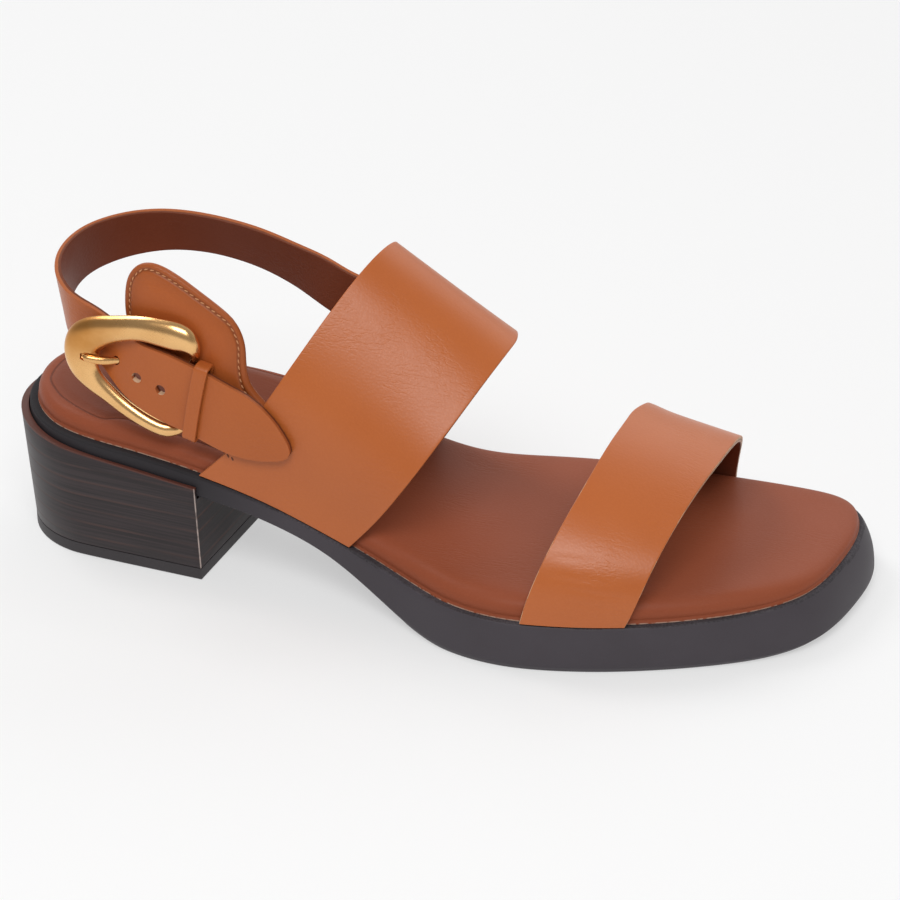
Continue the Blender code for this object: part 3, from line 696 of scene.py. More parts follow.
class Bench:
    """Hand tools that work on one mesh at a time."""

    @staticmethod
    def take(piece: Object) -> None:
        """Selects one piece alone and makes it active.

        Args:
            piece: the piece to work on.
        """
        bpy.ops.object.select_all(action="DESELECT")
        piece.select_set(True)
        bpy.context.view_layer.objects.active = piece

    @staticmethod
    def copy(node: str, name: str) -> Object:
        """Copies a node's mesh and cleans it up into quads.

        Args:
            node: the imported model's node.
            name: the new piece's name.

        Returns:
            The new piece, with no material.
        """
        piece = bpy.data.objects.new(name, frame["nodes"][node].data.copy())
        piece.data.name = name
        bpy.context.scene.collection.objects.link(piece)
        Bench.take(piece)
        piece.data.materials.clear()
        if piece.data.has_custom_normals:
            bpy.ops.mesh.customdata_custom_splitnormals_clear()
        bpy.ops.object.mode_set(mode="EDIT")
        bpy.ops.mesh.select_all(action="SELECT")
        bpy.ops.mesh.remove_doubles(threshold=WELD * MM)
        bpy.ops.mesh.tris_convert_to_quads(face_threshold=QUAD_TURN, shape_threshold=QUAD_SHAPE)
        bpy.ops.mesh.select_mode(type="FACE")
        bpy.ops.mesh.select_all(action="DESELECT")
        bpy.ops.object.mode_set(mode="OBJECT")
        return piece

    @staticmethod
    def crease(piece: Object, angle: float, weight: float = 1.0, foot_only: bool = False) -> None:
        """Keeps edges sharp when the piece is subdivided.

        Args:
            piece: the piece to be subdivided.
            angle: the least angle of a sharp edge, in radians.
            weight: how sharp they stay, up to 1.
            foot_only: whether only the edges of faces that point straight down count.
        """
        mesh = bmesh.new()
        mesh.from_mesh(piece.data)
        layers = mesh.edges.layers.float
        layer = layers.get("crease_edge") or layers.new("crease_edge")
        for edge in mesh.edges:
            lowest = min(face.normal.z for face in edge.link_faces)
            if len(edge.link_faces) != 2 or (foot_only and lowest > STRAIGHT_DOWN):
                continue
            if edge.calc_face_angle() > angle:
                edge[layer] = weight
        mesh.to_mesh(piece.data)
        mesh.free()

    @staticmethod
    def apply(piece: Object, kind: str, **settings: object) -> None:
        """Adds a modifier with its settings and applies it.

        Args:
            piece: the piece to work on.
            kind: the modifier's type.
            settings: its properties.
        """
        Bench.take(piece)
        modifier = piece.modifiers.new(kind.lower(), kind)
        for key, value in settings.items():
            setattr(modifier, key, value)
        bpy.ops.object.modifier_apply(modifier=modifier.name)

    @staticmethod
    def refine(piece: Object, levels: int) -> None:
        """Subdivides a piece smoothly."""
        Bench.apply(piece, "SUBSURF", levels=levels, render_levels=levels)

    @staticmethod
    def round_edges(piece: Object, width: float, segments: int = 3) -> None:
        """Rounds the edges that are still sharp, by a width in millimetres."""
        Bench.apply(
            piece, "BEVEL", limit_method="ANGLE", angle_limit=SHARP, width=width * MM, segments=segments
        )

    @staticmethod
    def shade(piece: Object, angle: float = SHARP) -> None:
        """Shades a piece smooth up to an angle."""
        Bench.take(piece)
        bpy.ops.object.shade_smooth_by_angle(angle=angle)

    @staticmethod
    def points(piece: Object) -> np.ndarray:
        """The piece's points in millimetres, one row each.

        Args:
            piece: the piece to read.

        Returns:
            One row for each point.
        """
        flat = np.empty(len(piece.data.vertices) * 3)
        piece.data.vertices.foreach_get("co", flat)
        return flat.reshape(-1, 3) / MM

    @staticmethod
    def normals(piece: Object) -> np.ndarray:
        """The piece's outward directions at its points.

        Args:
            piece: the piece to read.

        Returns:
            One row for each point.
        """
        flat = np.empty(len(piece.data.vertices) * 3)
        piece.data.vertices.foreach_get("normal", flat)
        return flat.reshape(-1, 3)

    @staticmethod
    def move(piece: Object, points: np.ndarray) -> None:
        """Puts the piece's points at new places in millimetres."""
        piece.data.vertices.foreach_set("co", (points * MM).ravel())
        piece.data.update()

    @staticmethod
    def note(piece: Object, name: str, values: np.ndarray) -> None:
        """Writes a number at each point, for a finish to read."""
        layer = piece.data.attributes.new(name, "FLOAT", "POINT")
        layer.data.foreach_set("value", values)

    @staticmethod
    def dress(piece: Object, *finishes: Material) -> None:
        """Gives a piece its finishes, one for each material slot.

        Args:
            piece: the piece to work on.
            finishes: the materials, in order.
        """
        piece.data.materials.clear()
        for finish in finishes:
            piece.data.materials.append(finish)

    @staticmethod
    def settle(piece: Object, slot: Slot, node: str = "") -> Object:
        """Makes a finished piece ride on the sandal.

        Args:
            piece: the finished piece.
            slot: the record's slot for the piece's finish; not used.
            node: the node that it stands for, if any.

        Returns:
            The piece.
        """
        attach(piece, "root")
        if node:
            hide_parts(node)
        LOG.info("%s: %d faces", piece.name, len(piece.data.polygons))
        return piece


def soft_step(values: np.ndarray, low: float, high: float) -> np.ndarray:
    """A soft step from 0 at low to 1 at high."""
    share = np.clip((values - low) / (high - low), 0.0, 1.0)
    return share * share * (3 - 2 * share)


def closed_curve(corners: Sequence[Place], steps: int = 12) -> np.ndarray:
    """A smooth closed curve through corners, as rows of points.

    Args:
        corners: the points that it passes through.
        steps: how many points each span gets.

    Returns:
        Rows of points along the curve.
    """
    knots = np.array(corners, float)
    before, after, later = np.roll(knots, 1, 0), np.roll(knots, -1, 0), np.roll(knots, -2, 0)
    spans = []
    for t in np.arange(steps) / steps:
        spans.append(
            0.5 * (2 * knots + (after - before) * t + (2 * before - 5 * knots + 4 * after - later) * t * t
                   + (3 * knots - before - 3 * after + later) * t ** 3)
        )
    return np.stack(spans, 1).reshape(-1, 2)


def from_curve(places: np.ndarray, curve: np.ndarray) -> np.ndarray:
    """Distance of each place from a closed curve, positive inside it.

    Args:
        places: rows of points.
        curve: rows of points of the closed curve.

    Returns:
        One signed distance for each place.
    """
    ends = np.roll(curve, -1, 0)
    best = np.full(len(places), np.inf)
    inside = np.zeros(len(places), bool)
    for start, end in zip(curve, ends):
        run = end - start
        share = np.clip((places - start) @ run / max(run @ run, TINY), 0.0, 1.0)
        best = np.minimum(best, np.linalg.norm(places - start - share[:, None] * run, axis=1))
        if start[1] != end[1]:
            crosses = (start[1] > places[:, 1]) != (end[1] > places[:, 1])
            inside ^= crosses & (places[:, 0] < start[0] + run[0] * (places[:, 1] - start[1]) / run[1])
    return np.where(inside, best, -best)


def surface(piece: Object) -> BVHTree:
    """A piece's surface, for finding places on it."""
    return BVHTree.FromPolygons(
        [v.co for v in piece.data.vertices], [p.vertices for p in piece.data.polygons]
    )


@dataclass
class Sole:
    """The rubber sole, with a roughened ledge and a ribbed tread."""

    wall: Rubber
    ledge: Rubber
    tread: Rubber
    levels: int = 2
    edge_angle: float = math.radians(28)
    edge_weight: float = 0.8
    ledge_slope: float = 0.58
    foot_round: float = 0.6
    tread_slope: float = -0.8
    tread_height: float = 3.0

    def build(self) -> list[Object]:
        """Builds and dresses the sole.

        Returns:
            The finished pieces.
        """
        piece = Bench.copy("outsole", "sole")
        Bench.crease(piece, self.edge_angle, self.edge_weight)
        Bench.crease(piece, self.edge_angle, foot_only=True)
        Bench.refine(piece, self.levels)
        Bench.round_edges(piece, self.foot_round)
        Bench.dress(piece, self.wall.make(), self.ledge.make(), self.tread.make())
        for face in piece.data.polygons:
            if face.normal.z > self.ledge_slope:
                face.material_index = SoleFace.LEDGE
            elif face.normal.z < self.tread_slope and face.center.z < self.tread_height * MM:
                face.material_index = SoleFace.TREAD
        Bench.shade(piece)
        return [Bench.settle(piece, Slot.SOLE, "outsole")]


@dataclass
class Heel:
    """The stacked block heel, its duller front face and the rubber lift that it treads on."""

    stack: StackedHeel
    breast: StackedHeel
    rubber: Rubber
    breast_slope: float = 0.7
    block_round: float = 0.35
    block_steps: int = 2
    lift_round: float = 0.5
    lift_steps: int = 3
    edge_angle: float = math.radians(35)
    levels: int = 2

    def build(self) -> list[Object]:
        """Builds and dresses the block and its lift.

        Returns:
            The finished pieces.
        """
        block = self.shaped("heel_block", "heel_stack_block", self.block_round, self.block_steps)
        Bench.dress(block, self.stack.make(), self.breast.make())
        for face in block.data.polygons:
            if face.normal.x > self.breast_slope:
                face.material_index = HeelFace.BREAST
        lift = self.shaped("heel_top_lift", "heel_lift", self.lift_round, self.lift_steps)
        Bench.dress(lift, self.rubber.make())
        return [Bench.settle(block, Slot.HEEL, "heel_block"), Bench.settle(lift, Slot.LIFT, "heel_top_lift")]

    def shaped(self, node: str, name: str, width: float, segments: int) -> Object:
        """Copies a node and rounds its edges.

        Args:
            node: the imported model's node.
            name: the new piece's name.
            width: how far its edges are rounded, in millimetres.
            segments: the steps of the rounding.

        Returns:
            The shaped piece.
        """
        piece = Bench.copy(node, name)
        Bench.crease(piece, self.edge_angle)
        Bench.refine(piece, self.levels)
        Bench.round_edges(piece, width, segments)
        Bench.shade(piece, self.edge_angle)
        return piece


@dataclass
class Footbed:
    """The padded leather footbed, with a heel pad pressed into it."""

    leather: FootbedLeather
    levels: int = 3
    pad_outline: tuple[Place, ...] = (
        (-114.9, 0.0), (-113.0, -3.8), (-108.5, -8.9), (-104.2, -12.0), (-100.2, -14.2), (-95.2, -16.3),
        (-91.6, -16.9), (-88.6, -15.4), (-85.6, -14.6), (-81.2, -15.9), (-70.0, -16.8), (-55.0, -18.0),
        (-41.0, -18.0), (-33.0, -10.5), (-31.0, 4.0), (-34.0, 17.0), (-43.0, 24.0), (-60.0, 25.0),
        (-80.0, 26.6), (-95.0, 27.8), (-104.5, 26.6), (-111.2, 21.6), (-114.8, 13.0), (-115.6, 6.0),
    )
    pad_rise: float = 0.5
    line_depth: float = 0.3
    seat_drop: float = 0.25
    seat_flare: float = 0.7
    seat_clear: float = 0.04
    seat_reach: float = 1.0
    seat_span: Span = (0.3, 1.1)
    flare_span: Span = (0.05, 0.3)
    foot_angle: float = math.radians(25)
    top_slope: float = 0.5
    pad_ramp: float = 4.0
    line_width: float = 1.1
    off_pad: float = -20.0

    def build(self) -> list[Object]:
        """Builds and dresses the footbed.

        Returns:
            The finished pieces.
        """
        piece = Bench.copy("footbed", "padded_footbed")
        Bench.crease(piece, self.foot_angle, foot_only=True)
        Bench.refine(piece, self.levels)
        points = Bench.points(piece)
        up = Bench.normals(piece)[:, 2] > self.top_slope
        inside = from_curve(points[:, :2], closed_curve(self.pad_outline))
        rise = soft_step(inside, 0.0, self.pad_ramp) * self.pad_rise
        rise -= np.exp(-(inside / self.line_width) ** 2) * self.line_depth
        points[:, 2] += np.where(up, rise, 0.0)
        sole = surface(frame["nodes"]["outsole"])
        seat = np.array([sole.find_nearest(v.co)[3] / MM for v in piece.data.vertices])
        near = 1 - soft_step(seat, *self.seat_span)
        out = Bench.normals(piece) * (1.0, 1.0, 0.0)
        reach = np.linalg.norm(out, axis=1)
        out /= np.maximum(reach, self.flare_span[1])[:, None]
        points += out * (near * self.seat_flare * soft_step(reach, *self.flare_span))[:, None]
        points[:, 2] -= near * self.seat_drop
        Bench.move(piece, points)
        self.rest_on_sole(piece)
        Bench.note(piece, "heel_pad_mm", np.where(up, inside, self.off_pad))
        Bench.note(piece, "seat_mm", seat - self.seat_drop)
        Bench.shade(piece)
        Bench.dress(piece, self.leather.make())
        Bench.settle(piece, Slot.FOOTBED, "footbed")
        return [piece]

    def rest_on_sole(self, piece: Object) -> None:
        """Lifts the points that would sink into the dressed sole just clear of it.

        Args:
            piece: the shaped footbed.
        """
        sole = surface(bpy.data.objects["sole"])
        for vertex in piece.data.vertices:
            hit, out, _, away = sole.find_nearest(vertex.co)
            if away < self.seat_reach * MM and (vertex.co - hit).dot(out) < self.seat_clear * MM:
                vertex.co = hit + out * self.seat_clear * MM


@dataclass(frozen=True)
class Fold:
    """A soft crease in a strap's outer side, between two places seen from the outer side."""

    start: Place
    end: Place
    depth: float
    width: float


@dataclass(frozen=True)
class Step:
    """A move in millimetres that comes in softly between two places across the foot."""

    size: float
    start: float
    end: float

    def at(self, across: np.ndarray) -> np.ndarray:
        """The move at each place across the foot."""
        return self.size * soft_step(across, self.start, self.end)


@dataclass(frozen=True)
class Sweep:
    """How a strap's rear edge moves as it passes over the foot.

    Attributes:
        forward: its moves toward the toe.
        up: its moves upward.
        width: how far in from the edge the leather follows it.
        before: the place along the foot that the rear edge lies behind.
    """

    forward: tuple[Step, ...]
    up: tuple[Step, ...]
    width: float
    before: float


@dataclass
class Strap:
    """A leather strap: tan outside, lined inside, with a painted edge.

    Attributes:
        node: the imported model's node.
        name: the new piece's name.
        outer: the finish of the side that shows.
        lining: the finish of the side that the foot touches.
        edge: the finish of the cut edge.
        heart: a place inside the strap's arch, which the lining faces.
        levels: how often the mesh is subdivided.
        edge_round: how far the edges are rounded.
        folds: soft creases in the outer side.
        sweep: how the rear edge is draped, if it is.
    """

    node: str
    name: str
    outer: Leather
    lining: Leather
    edge: EdgeLeather
    heart: Triple
    levels: int = 2
    edge_round: float = 0.75
    folds: tuple[Fold, ...] = ()
    sweep: Optional[Sweep] = None

    def build(self) -> list[Object]:
        """Builds and dresses the strap.

        Returns:
            The finished pieces.
        """
        piece = Bench.copy(self.node, self.name)
        Bench.dress(piece, *self.finishes())
        self.sort_faces(piece)
        Bench.crease(piece, SHARP)
        Bench.refine(piece, self.levels)
        self.fold(piece)
        if self.sweep:
            self.sweep_edge(piece, self.sweep)
        Bench.round_edges(piece, self.edge_round)
        self.note_depth(piece)
        Bench.shade(piece)
        return [Bench.settle(piece, Slot.STRAP, self.node)]

    def note_depth(self, piece: Object) -> None:
        """Notes how deep each point lies under the outer face.

        Args:
            piece: the piece to work on.
        """
        faces = [face.vertices for face in piece.data.polygons if face.material_index == Side.OUTER]
        outer = BVHTree.FromPolygons([v.co for v in piece.data.vertices], faces)
        depths = [outer.find_nearest(v.co)[3] / MM for v in piece.data.vertices]
        Bench.note(piece, "skin_mm", np.array(depths))

    def finishes(self) -> list[Material]:
        """The strap's finishes, in the order of Side."""
        return [self.outer.make(), self.lining.make(), self.edge.make()]

    def sort_faces(self, piece: Object) -> None:
        """Gives the outer face, the lining and the cut edge their own slots.

        Args:
            piece: the piece to work on.
        """
        mesh = bmesh.new()
        mesh.from_mesh(piece.data)
        mesh.faces.ensure_lookup_table()
        left = dict.fromkeys(range(len(mesh.faces)))
        groups = []
        while left:
            stack = [left.popitem()[0]]
            group = []
            while stack:
                face = mesh.faces[stack.pop()]
                group.append(face)
                for edge in face.edges:
                    if len(edge.link_faces) == 2 and edge.calc_face_angle() < SHARP:
                        for other in edge.link_faces:
                            if other.index in left:
                                del left[other.index]
                                stack.append(other.index)
            groups.append(group)
        groups.sort(key=lambda group: -sum(face.calc_area() for face in group))
        heart = Vector(self.heart) * MM
        for rank, group in enumerate(groups):
            facing = sum(
                face.normal.dot(face.calc_center_median() - heart) * face.calc_area() for face in group
            )
            side = Side.EDGE
            if rank < BROAD_SIDES:
                side = Side.OUTER if facing > 0 else Side.LINING
            for face in group:
                face.material_index = self.side_of(face, side)
        mesh.to_mesh(piece.data)
        mesh.free()

    def side_of(self, face: bmesh.types.BMFace, side: Side) -> Side:
        """The slot of one face, which a strap with holes may change."""
        return side

    def fold(self, piece: Object) -> None:
        """Presses the folds into the outer side.

        Args:
            piece: the piece to work on.
        """
        points = Bench.points(piece)
        normals = Bench.normals(piece)
        outside = (normals * (points - np.array(self.heart))).sum(1) > 0
        places = points[:, ::2]
        for fold in self.folds:
            start = np.array(fold.start)
            run = np.array(fold.end) - start
            share = np.clip((places - start) @ run / (run @ run), 0.0, 1.0)
            away = np.linalg.norm(places - start - share[:, None] * run, axis=1)
            press = fold.depth * np.sin(math.pi * share) * np.exp(-(away / fold.width) ** 2)
            press *= outside & (points[:, 1] < 0)
            points -= normals * press[:, None]
        Bench.move(piece, points)

    def sweep_edge(self, piece: Object, sweep: Sweep) -> None:
        """Moves the rear edge where it passes over the foot.

        Args:
            piece: the piece to work on.
            sweep: how far it moves.
        """
        rims = [face.center for face in piece.data.polygons if face.material_index == Side.EDGE]
        rims = [place for place in rims if place.x < sweep.before * MM]
        tree = KDTree(len(rims))
        for index, place in enumerate(rims):
            tree.insert(place, index)
        tree.balance()
        points = Bench.points(piece)
        away = np.array([tree.find(v.co)[2] / MM for v in piece.data.vertices])
        share = np.exp(-(away / sweep.width) ** 2)
        across = points[:, 1].copy()
        points[:, 0] += share * sum(step.at(across) for step in sweep.forward)
        points[:, 2] += share * sum(step.at(across) for step in sweep.up)
        Bench.move(piece, points)


@dataclass
class HeelStrap(Strap):
    """The strap round the heel, whose punched holes show raw leather."""

    raw: Optional[Leather] = None
    holes: tuple[Place, ...] = ((-76.44, 63.6), (-69.04, 61.4))
    hole_radius: float = 1.6
    hole_margin: float = 0.3

    def finishes(self) -> list[Material]:
        """The strap's finishes, with raw leather last."""
        return super().finishes() + [self.raw.make()]

    def side_of(self, face: bmesh.types.BMFace, side: Side) -> Side:
        """The slot of one face: raw leather inside the holes.

        Args:
            face: a face of the strap.
            side: the slot of the faces round it.

        Returns:
            The slot that the face gets.
        """
        place = face.calc_center_median() / MM
        for x, z in self.holes:
            near = math.hypot(place.x - x, place.z - z) < self.hole_radius + self.hole_margin
            if side == Side.EDGE and near and place.y < 0:
                return Side.RAW
        return side


@dataclass(frozen=True)
class Stitch:
    """One sewn stitch: where it lies, its direction and the way out from the leather."""

    place: Vector
    along: Vector
    out: Vector


@dataclass
class Stitching:
    """Rows of stitches that share one thread."""

    name: str
    thread: Thread
    length: float = 1.5
    thickness: float = 0.42
    slant: float = math.radians(14)
    sag: float = 0.45
    segments: int = 8
    rings: int = 7
    smooth: float = math.radians(80)

    def sew(self, stitches: Sequence[Stitch]) -> Object:
        """Models one stitch and copies it to every place.

        Args:
            stitches: where the stitches lie.

        Returns:
            The stitches as one piece.
        """
        bpy.ops.object.select_all(action="DESELECT")
        bpy.ops.mesh.primitive_uv_sphere_add(segments=self.segments, ring_count=self.rings, radius=0.5)
        model = bpy.context.object
        bpy.ops.object.mode_set(mode="EDIT")
        bpy.ops.mesh.select_all(action="SELECT")
        bpy.ops.transform.resize(value=(self.length, self.thickness, self.thickness))
        bpy.ops.object.mode_set(mode="OBJECT")
        for vertex in model.data.vertices:
            share = 2 * vertex.co.x / self.length
            vertex.co.z -= self.thickness * self.sag * share * share
        rows = []
        for stitch in stitches:
            side = stitch.out.cross(stitch.along).normalized()
            along = side.cross(stitch.out).normalized()
            turn = Matrix((along, side, stitch.out)).transposed().to_4x4()
            turn = Matrix.Translation(stitch.place) @ turn @ Matrix.Rotation(self.slant, 4, "Z")
            copy = bpy.data.objects.new(self.name, model.data.copy())
            copy.data.transform(turn @ Matrix.Scale(MM, 4))
            bpy.context.scene.collection.objects.link(copy)
            rows.append(copy)
        bpy.data.objects.remove(model)
        bpy.ops.object.select_all(action="DESELECT")
        for copy in rows:
            copy.select_set(True)
        bpy.context.view_layer.objects.active = rows[0]
        bpy.ops.object.join()
        piece = bpy.context.object
        piece.name = self.name
        Bench.dress(piece, self.thread.make())
        Bench.shade(piece, self.smooth)
        return Bench.settle(piece, Slot.STRAP)


@dataclass
class BucklePad:
    """The padded, stitched leaf behind the buckle."""

    leather: PadLeather
    thread: Thread
    outline: tuple[Place, ...] = (
        (-81.4, 79.0), (-81.2, 87.6), (-79.9, 92.6), (-77.0, 96.1), (-74.0, 97.4), (-70.0, 97.0),
        (-64.2, 94.3), (-58.6, 90.7), (-52.9, 86.8), (-48.7, 83.3), (-46.4, 79.4), (-45.4, 75.7),
        (-45.2, 69.9), (-43.9, 64.4), (-38.9, 59.0), (-34.9, 53.5), (-39.4, 49.5), (-47.4, 50.5),
        (-56.4, 53.0), (-65.4, 57.4), (-73.8, 64.3), (-79.3, 72.0),
    )
    middle: Place = (-61.4, 72.0)
    flat_share: float = 0.42
    levels: int = 3
    channel_depth: float = 0.3
    crown: float = 0.6
    crown_from: float = 72.0
    pitch: float = 1.85
    sewn_to: float = -44.8
    channel_width: float = 0.55
    crown_inset: Span = (2.0, 10.0)
    crown_ramp: float = 9.0
    side_slope: float = 0.6
    ring_share: float = 0.93
    ring_width: float = 3.0
    stitch_lift: float = 0.05
    aim_ahead: float = 0.3

    def build(self) -> list[Object]:
        """Builds and dresses the pad and its stitching.

        Returns:
            The finished pieces.
        """
        curve = closed_curve(self.outline)
        piece = Bench.copy("buckle_pad", "stitched_pad")
        self.rebuild_faces(piece, curve)
        Bench.refine(piece, self.levels)
        points = Bench.points(piece)
        normals = Bench.normals(piece)
        edge = from_curve(points[:, ::2], curve)
        from_seam = (edge - self.leather.seam_inset) / self.channel_width
        rise = -np.exp(-from_seam ** 2) * self.channel_depth
        padded_top = soft_step(points[:, 2], self.crown_from, self.crown_from + self.crown_ramp)
        crown = soft_step(edge, *self.crown_inset) * padded_top
        rise += np.where(normals[:, 1] < 0, crown * self.crown, 0.0)
        points += normals * (rise * (np.abs(normals[:, 1]) > self.side_slope))[:, None]
        Bench.move(piece, points)
        Bench.note(piece, "edge_mm", edge)
        Bench.shade(piece)
        Bench.dress(piece, self.leather.make())
        Bench.settle(piece, Slot.STRAP, "buckle_pad")
        return [piece, Stitching("pad_stitching", self.thread).sew(self.stitches(piece, curve))]

    def rebuild_faces(self, piece: Object, curve: np.ndarray) -> None:
        """Makes the flat middle of each side a ring of even faces.

        Args:
            piece: the piece to work on.
            curve: the pad's outline.
        """
        Bench.take(piece)
        middle = np.array(self.middle)
        spread = curve - middle
        order = np.argsort(np.arctan2(spread[:, 1], spread[:, 0]))
        angles = np.arctan2(spread[:, 1], spread[:, 0])[order]
        reach = np.linalg.norm(spread, axis=1)[order]
        for face in piece.data.polygons:
            away = np.array((face.center.x, face.center.z)) / MM - middle
            whole = np.interp(math.atan2(away[1], away[0]), angles, reach, period=2 * math.pi)
            face.select = bool(np.linalg.norm(away) < whole * self.flat_share * self.ring_share)
        bpy.ops.object.mode_set(mode="EDIT")
        bpy.ops.mesh.dissolve_faces()
        bpy.ops.mesh.inset(thickness=self.ring_width * MM, use_individual=True)
        bpy.ops.mesh.poke()
        bpy.ops.object.mode_set(mode="OBJECT")

    def stitches(self, piece: Object, curve: np.ndarray) -> list[Stitch]:
        """Places for stitches inside the pad's edge, on both of its sides.

        Args:
            piece: the shaped pad.
            curve: its outline.

        Returns:
            The stitches in order.
        """
        skin = surface(piece)
        ends = np.roll(curve, -1, 0)
        ahead = ends - np.roll(curve, 1, 0)
        ahead /= np.linalg.norm(ahead, axis=1)[:, None]
        row = curve + np.stack((-ahead[:, 1], ahead[:, 0]), 1) * -self.leather.seam_inset
        row = np.concatenate((row, row[:1]))
        lengths = np.concatenate(([0.0], np.cumsum(np.linalg.norm(np.diff(row, axis=0), axis=1))))
        count = round(lengths[-1] / self.pitch)
        made = []
        for at in np.arange(count) * lengths[-1] / count:
            x, z = (np.interp(at, lengths, row[:, k]) for k in (0, 1))
            if x > self.sewn_to:
                continue
            next_x, next_z = (np.interp(at + self.aim_ahead, lengths, row[:, k]) for k in (0, 1))
            along = Vector((next_x - x, 0.0, next_z - z))
            for side in (-1, 1):
                start = Vector((x, CLEAR_OF_SHOE * side, z)) * MM
                hit, out, _, _ = skin.ray_cast(start, Vector((0, -side, 0)))
                if hit:
                    made.append(Stitch(hit + out * self.stitch_lift * MM, along, out))
        return made


@dataclass
class Keeper:
    """The leather loop that holds down the strap's end."""

    leather: Leather
    edge_round: float = 0.3
    levels: int = 2

    def build(self) -> list[Object]:
        """Builds and dresses the loop.

        Returns:
            The finished pieces.
        """
        piece = Bench.copy("keeper_loop", "strap_keeper")
        Bench.crease(piece, SHARP)
        Bench.refine(piece, self.levels)
        Bench.round_edges(piece, self.edge_round)
        Bench.shade(piece)
        Bench.dress(piece, self.leather.make())
        return [Bench.settle(piece, Slot.STRAP, "keeper_loop")]


@dataclass
class Buckle:
    """The cast frame and its prong."""

    gold: AntiqueGold
    levels: int = 2
    edge_angle: float = math.radians(45)
    edge_weight: float = 0.7

    def build(self) -> list[Object]:
        """Builds and dresses the frame and the prong.

        Returns:
            The finished pieces.
        """
        made = []
        finish = self.gold.make()
        for node, name in (("buckle_frame", "cast_frame"), ("buckle_prong", "cast_prong")):
            piece = Bench.copy(node, name)
            Bench.crease(piece, self.edge_angle, self.edge_weight)
            Bench.refine(piece, self.levels)
            Bench.shade(piece)
            Bench.dress(piece, finish)
            made.append(Bench.settle(piece, Slot.BUCKLE, node))
        return made


@dataclass
class BarTack:
    """The short dark stitches at the foot of the instep strap's rear edge."""

    thread: Thread
    carrier: str = "instep_band"
    places: tuple[Place, ...] = ((-50.8, 42.6), (-49.5, 41.8))
    along: Triple = (0.35, 0.0, -1.0)
    length: float = 1.6
    thickness: float = 0.5

    def build(self) -> list[Object]:
        """Sews the stitches onto the strap.

        Returns:
            The finished pieces.
        """
        skin = surface(bpy.data.objects[self.carrier])
        stitches = []
        for x, z in self.places:
            start = Vector((x, -CLEAR_OF_SHOE, z)) * MM
            hit, out, _, _ = skin.ray_cast(start, Vector((0, 1, 0)))
            stitches.append(Stitch(hit, Vector(self.along), out))
        row = Stitching("bar_tack", self.thread, self.length, self.thickness, slant=0.0)
        return [row.sew(stitches)]


@dataclass(frozen=True)
class Panel:
    """A soft light: its place and size in metres and its share of the main light's power."""

    name: str
    place: Triple
    size: tuple[float, float]
    share: float


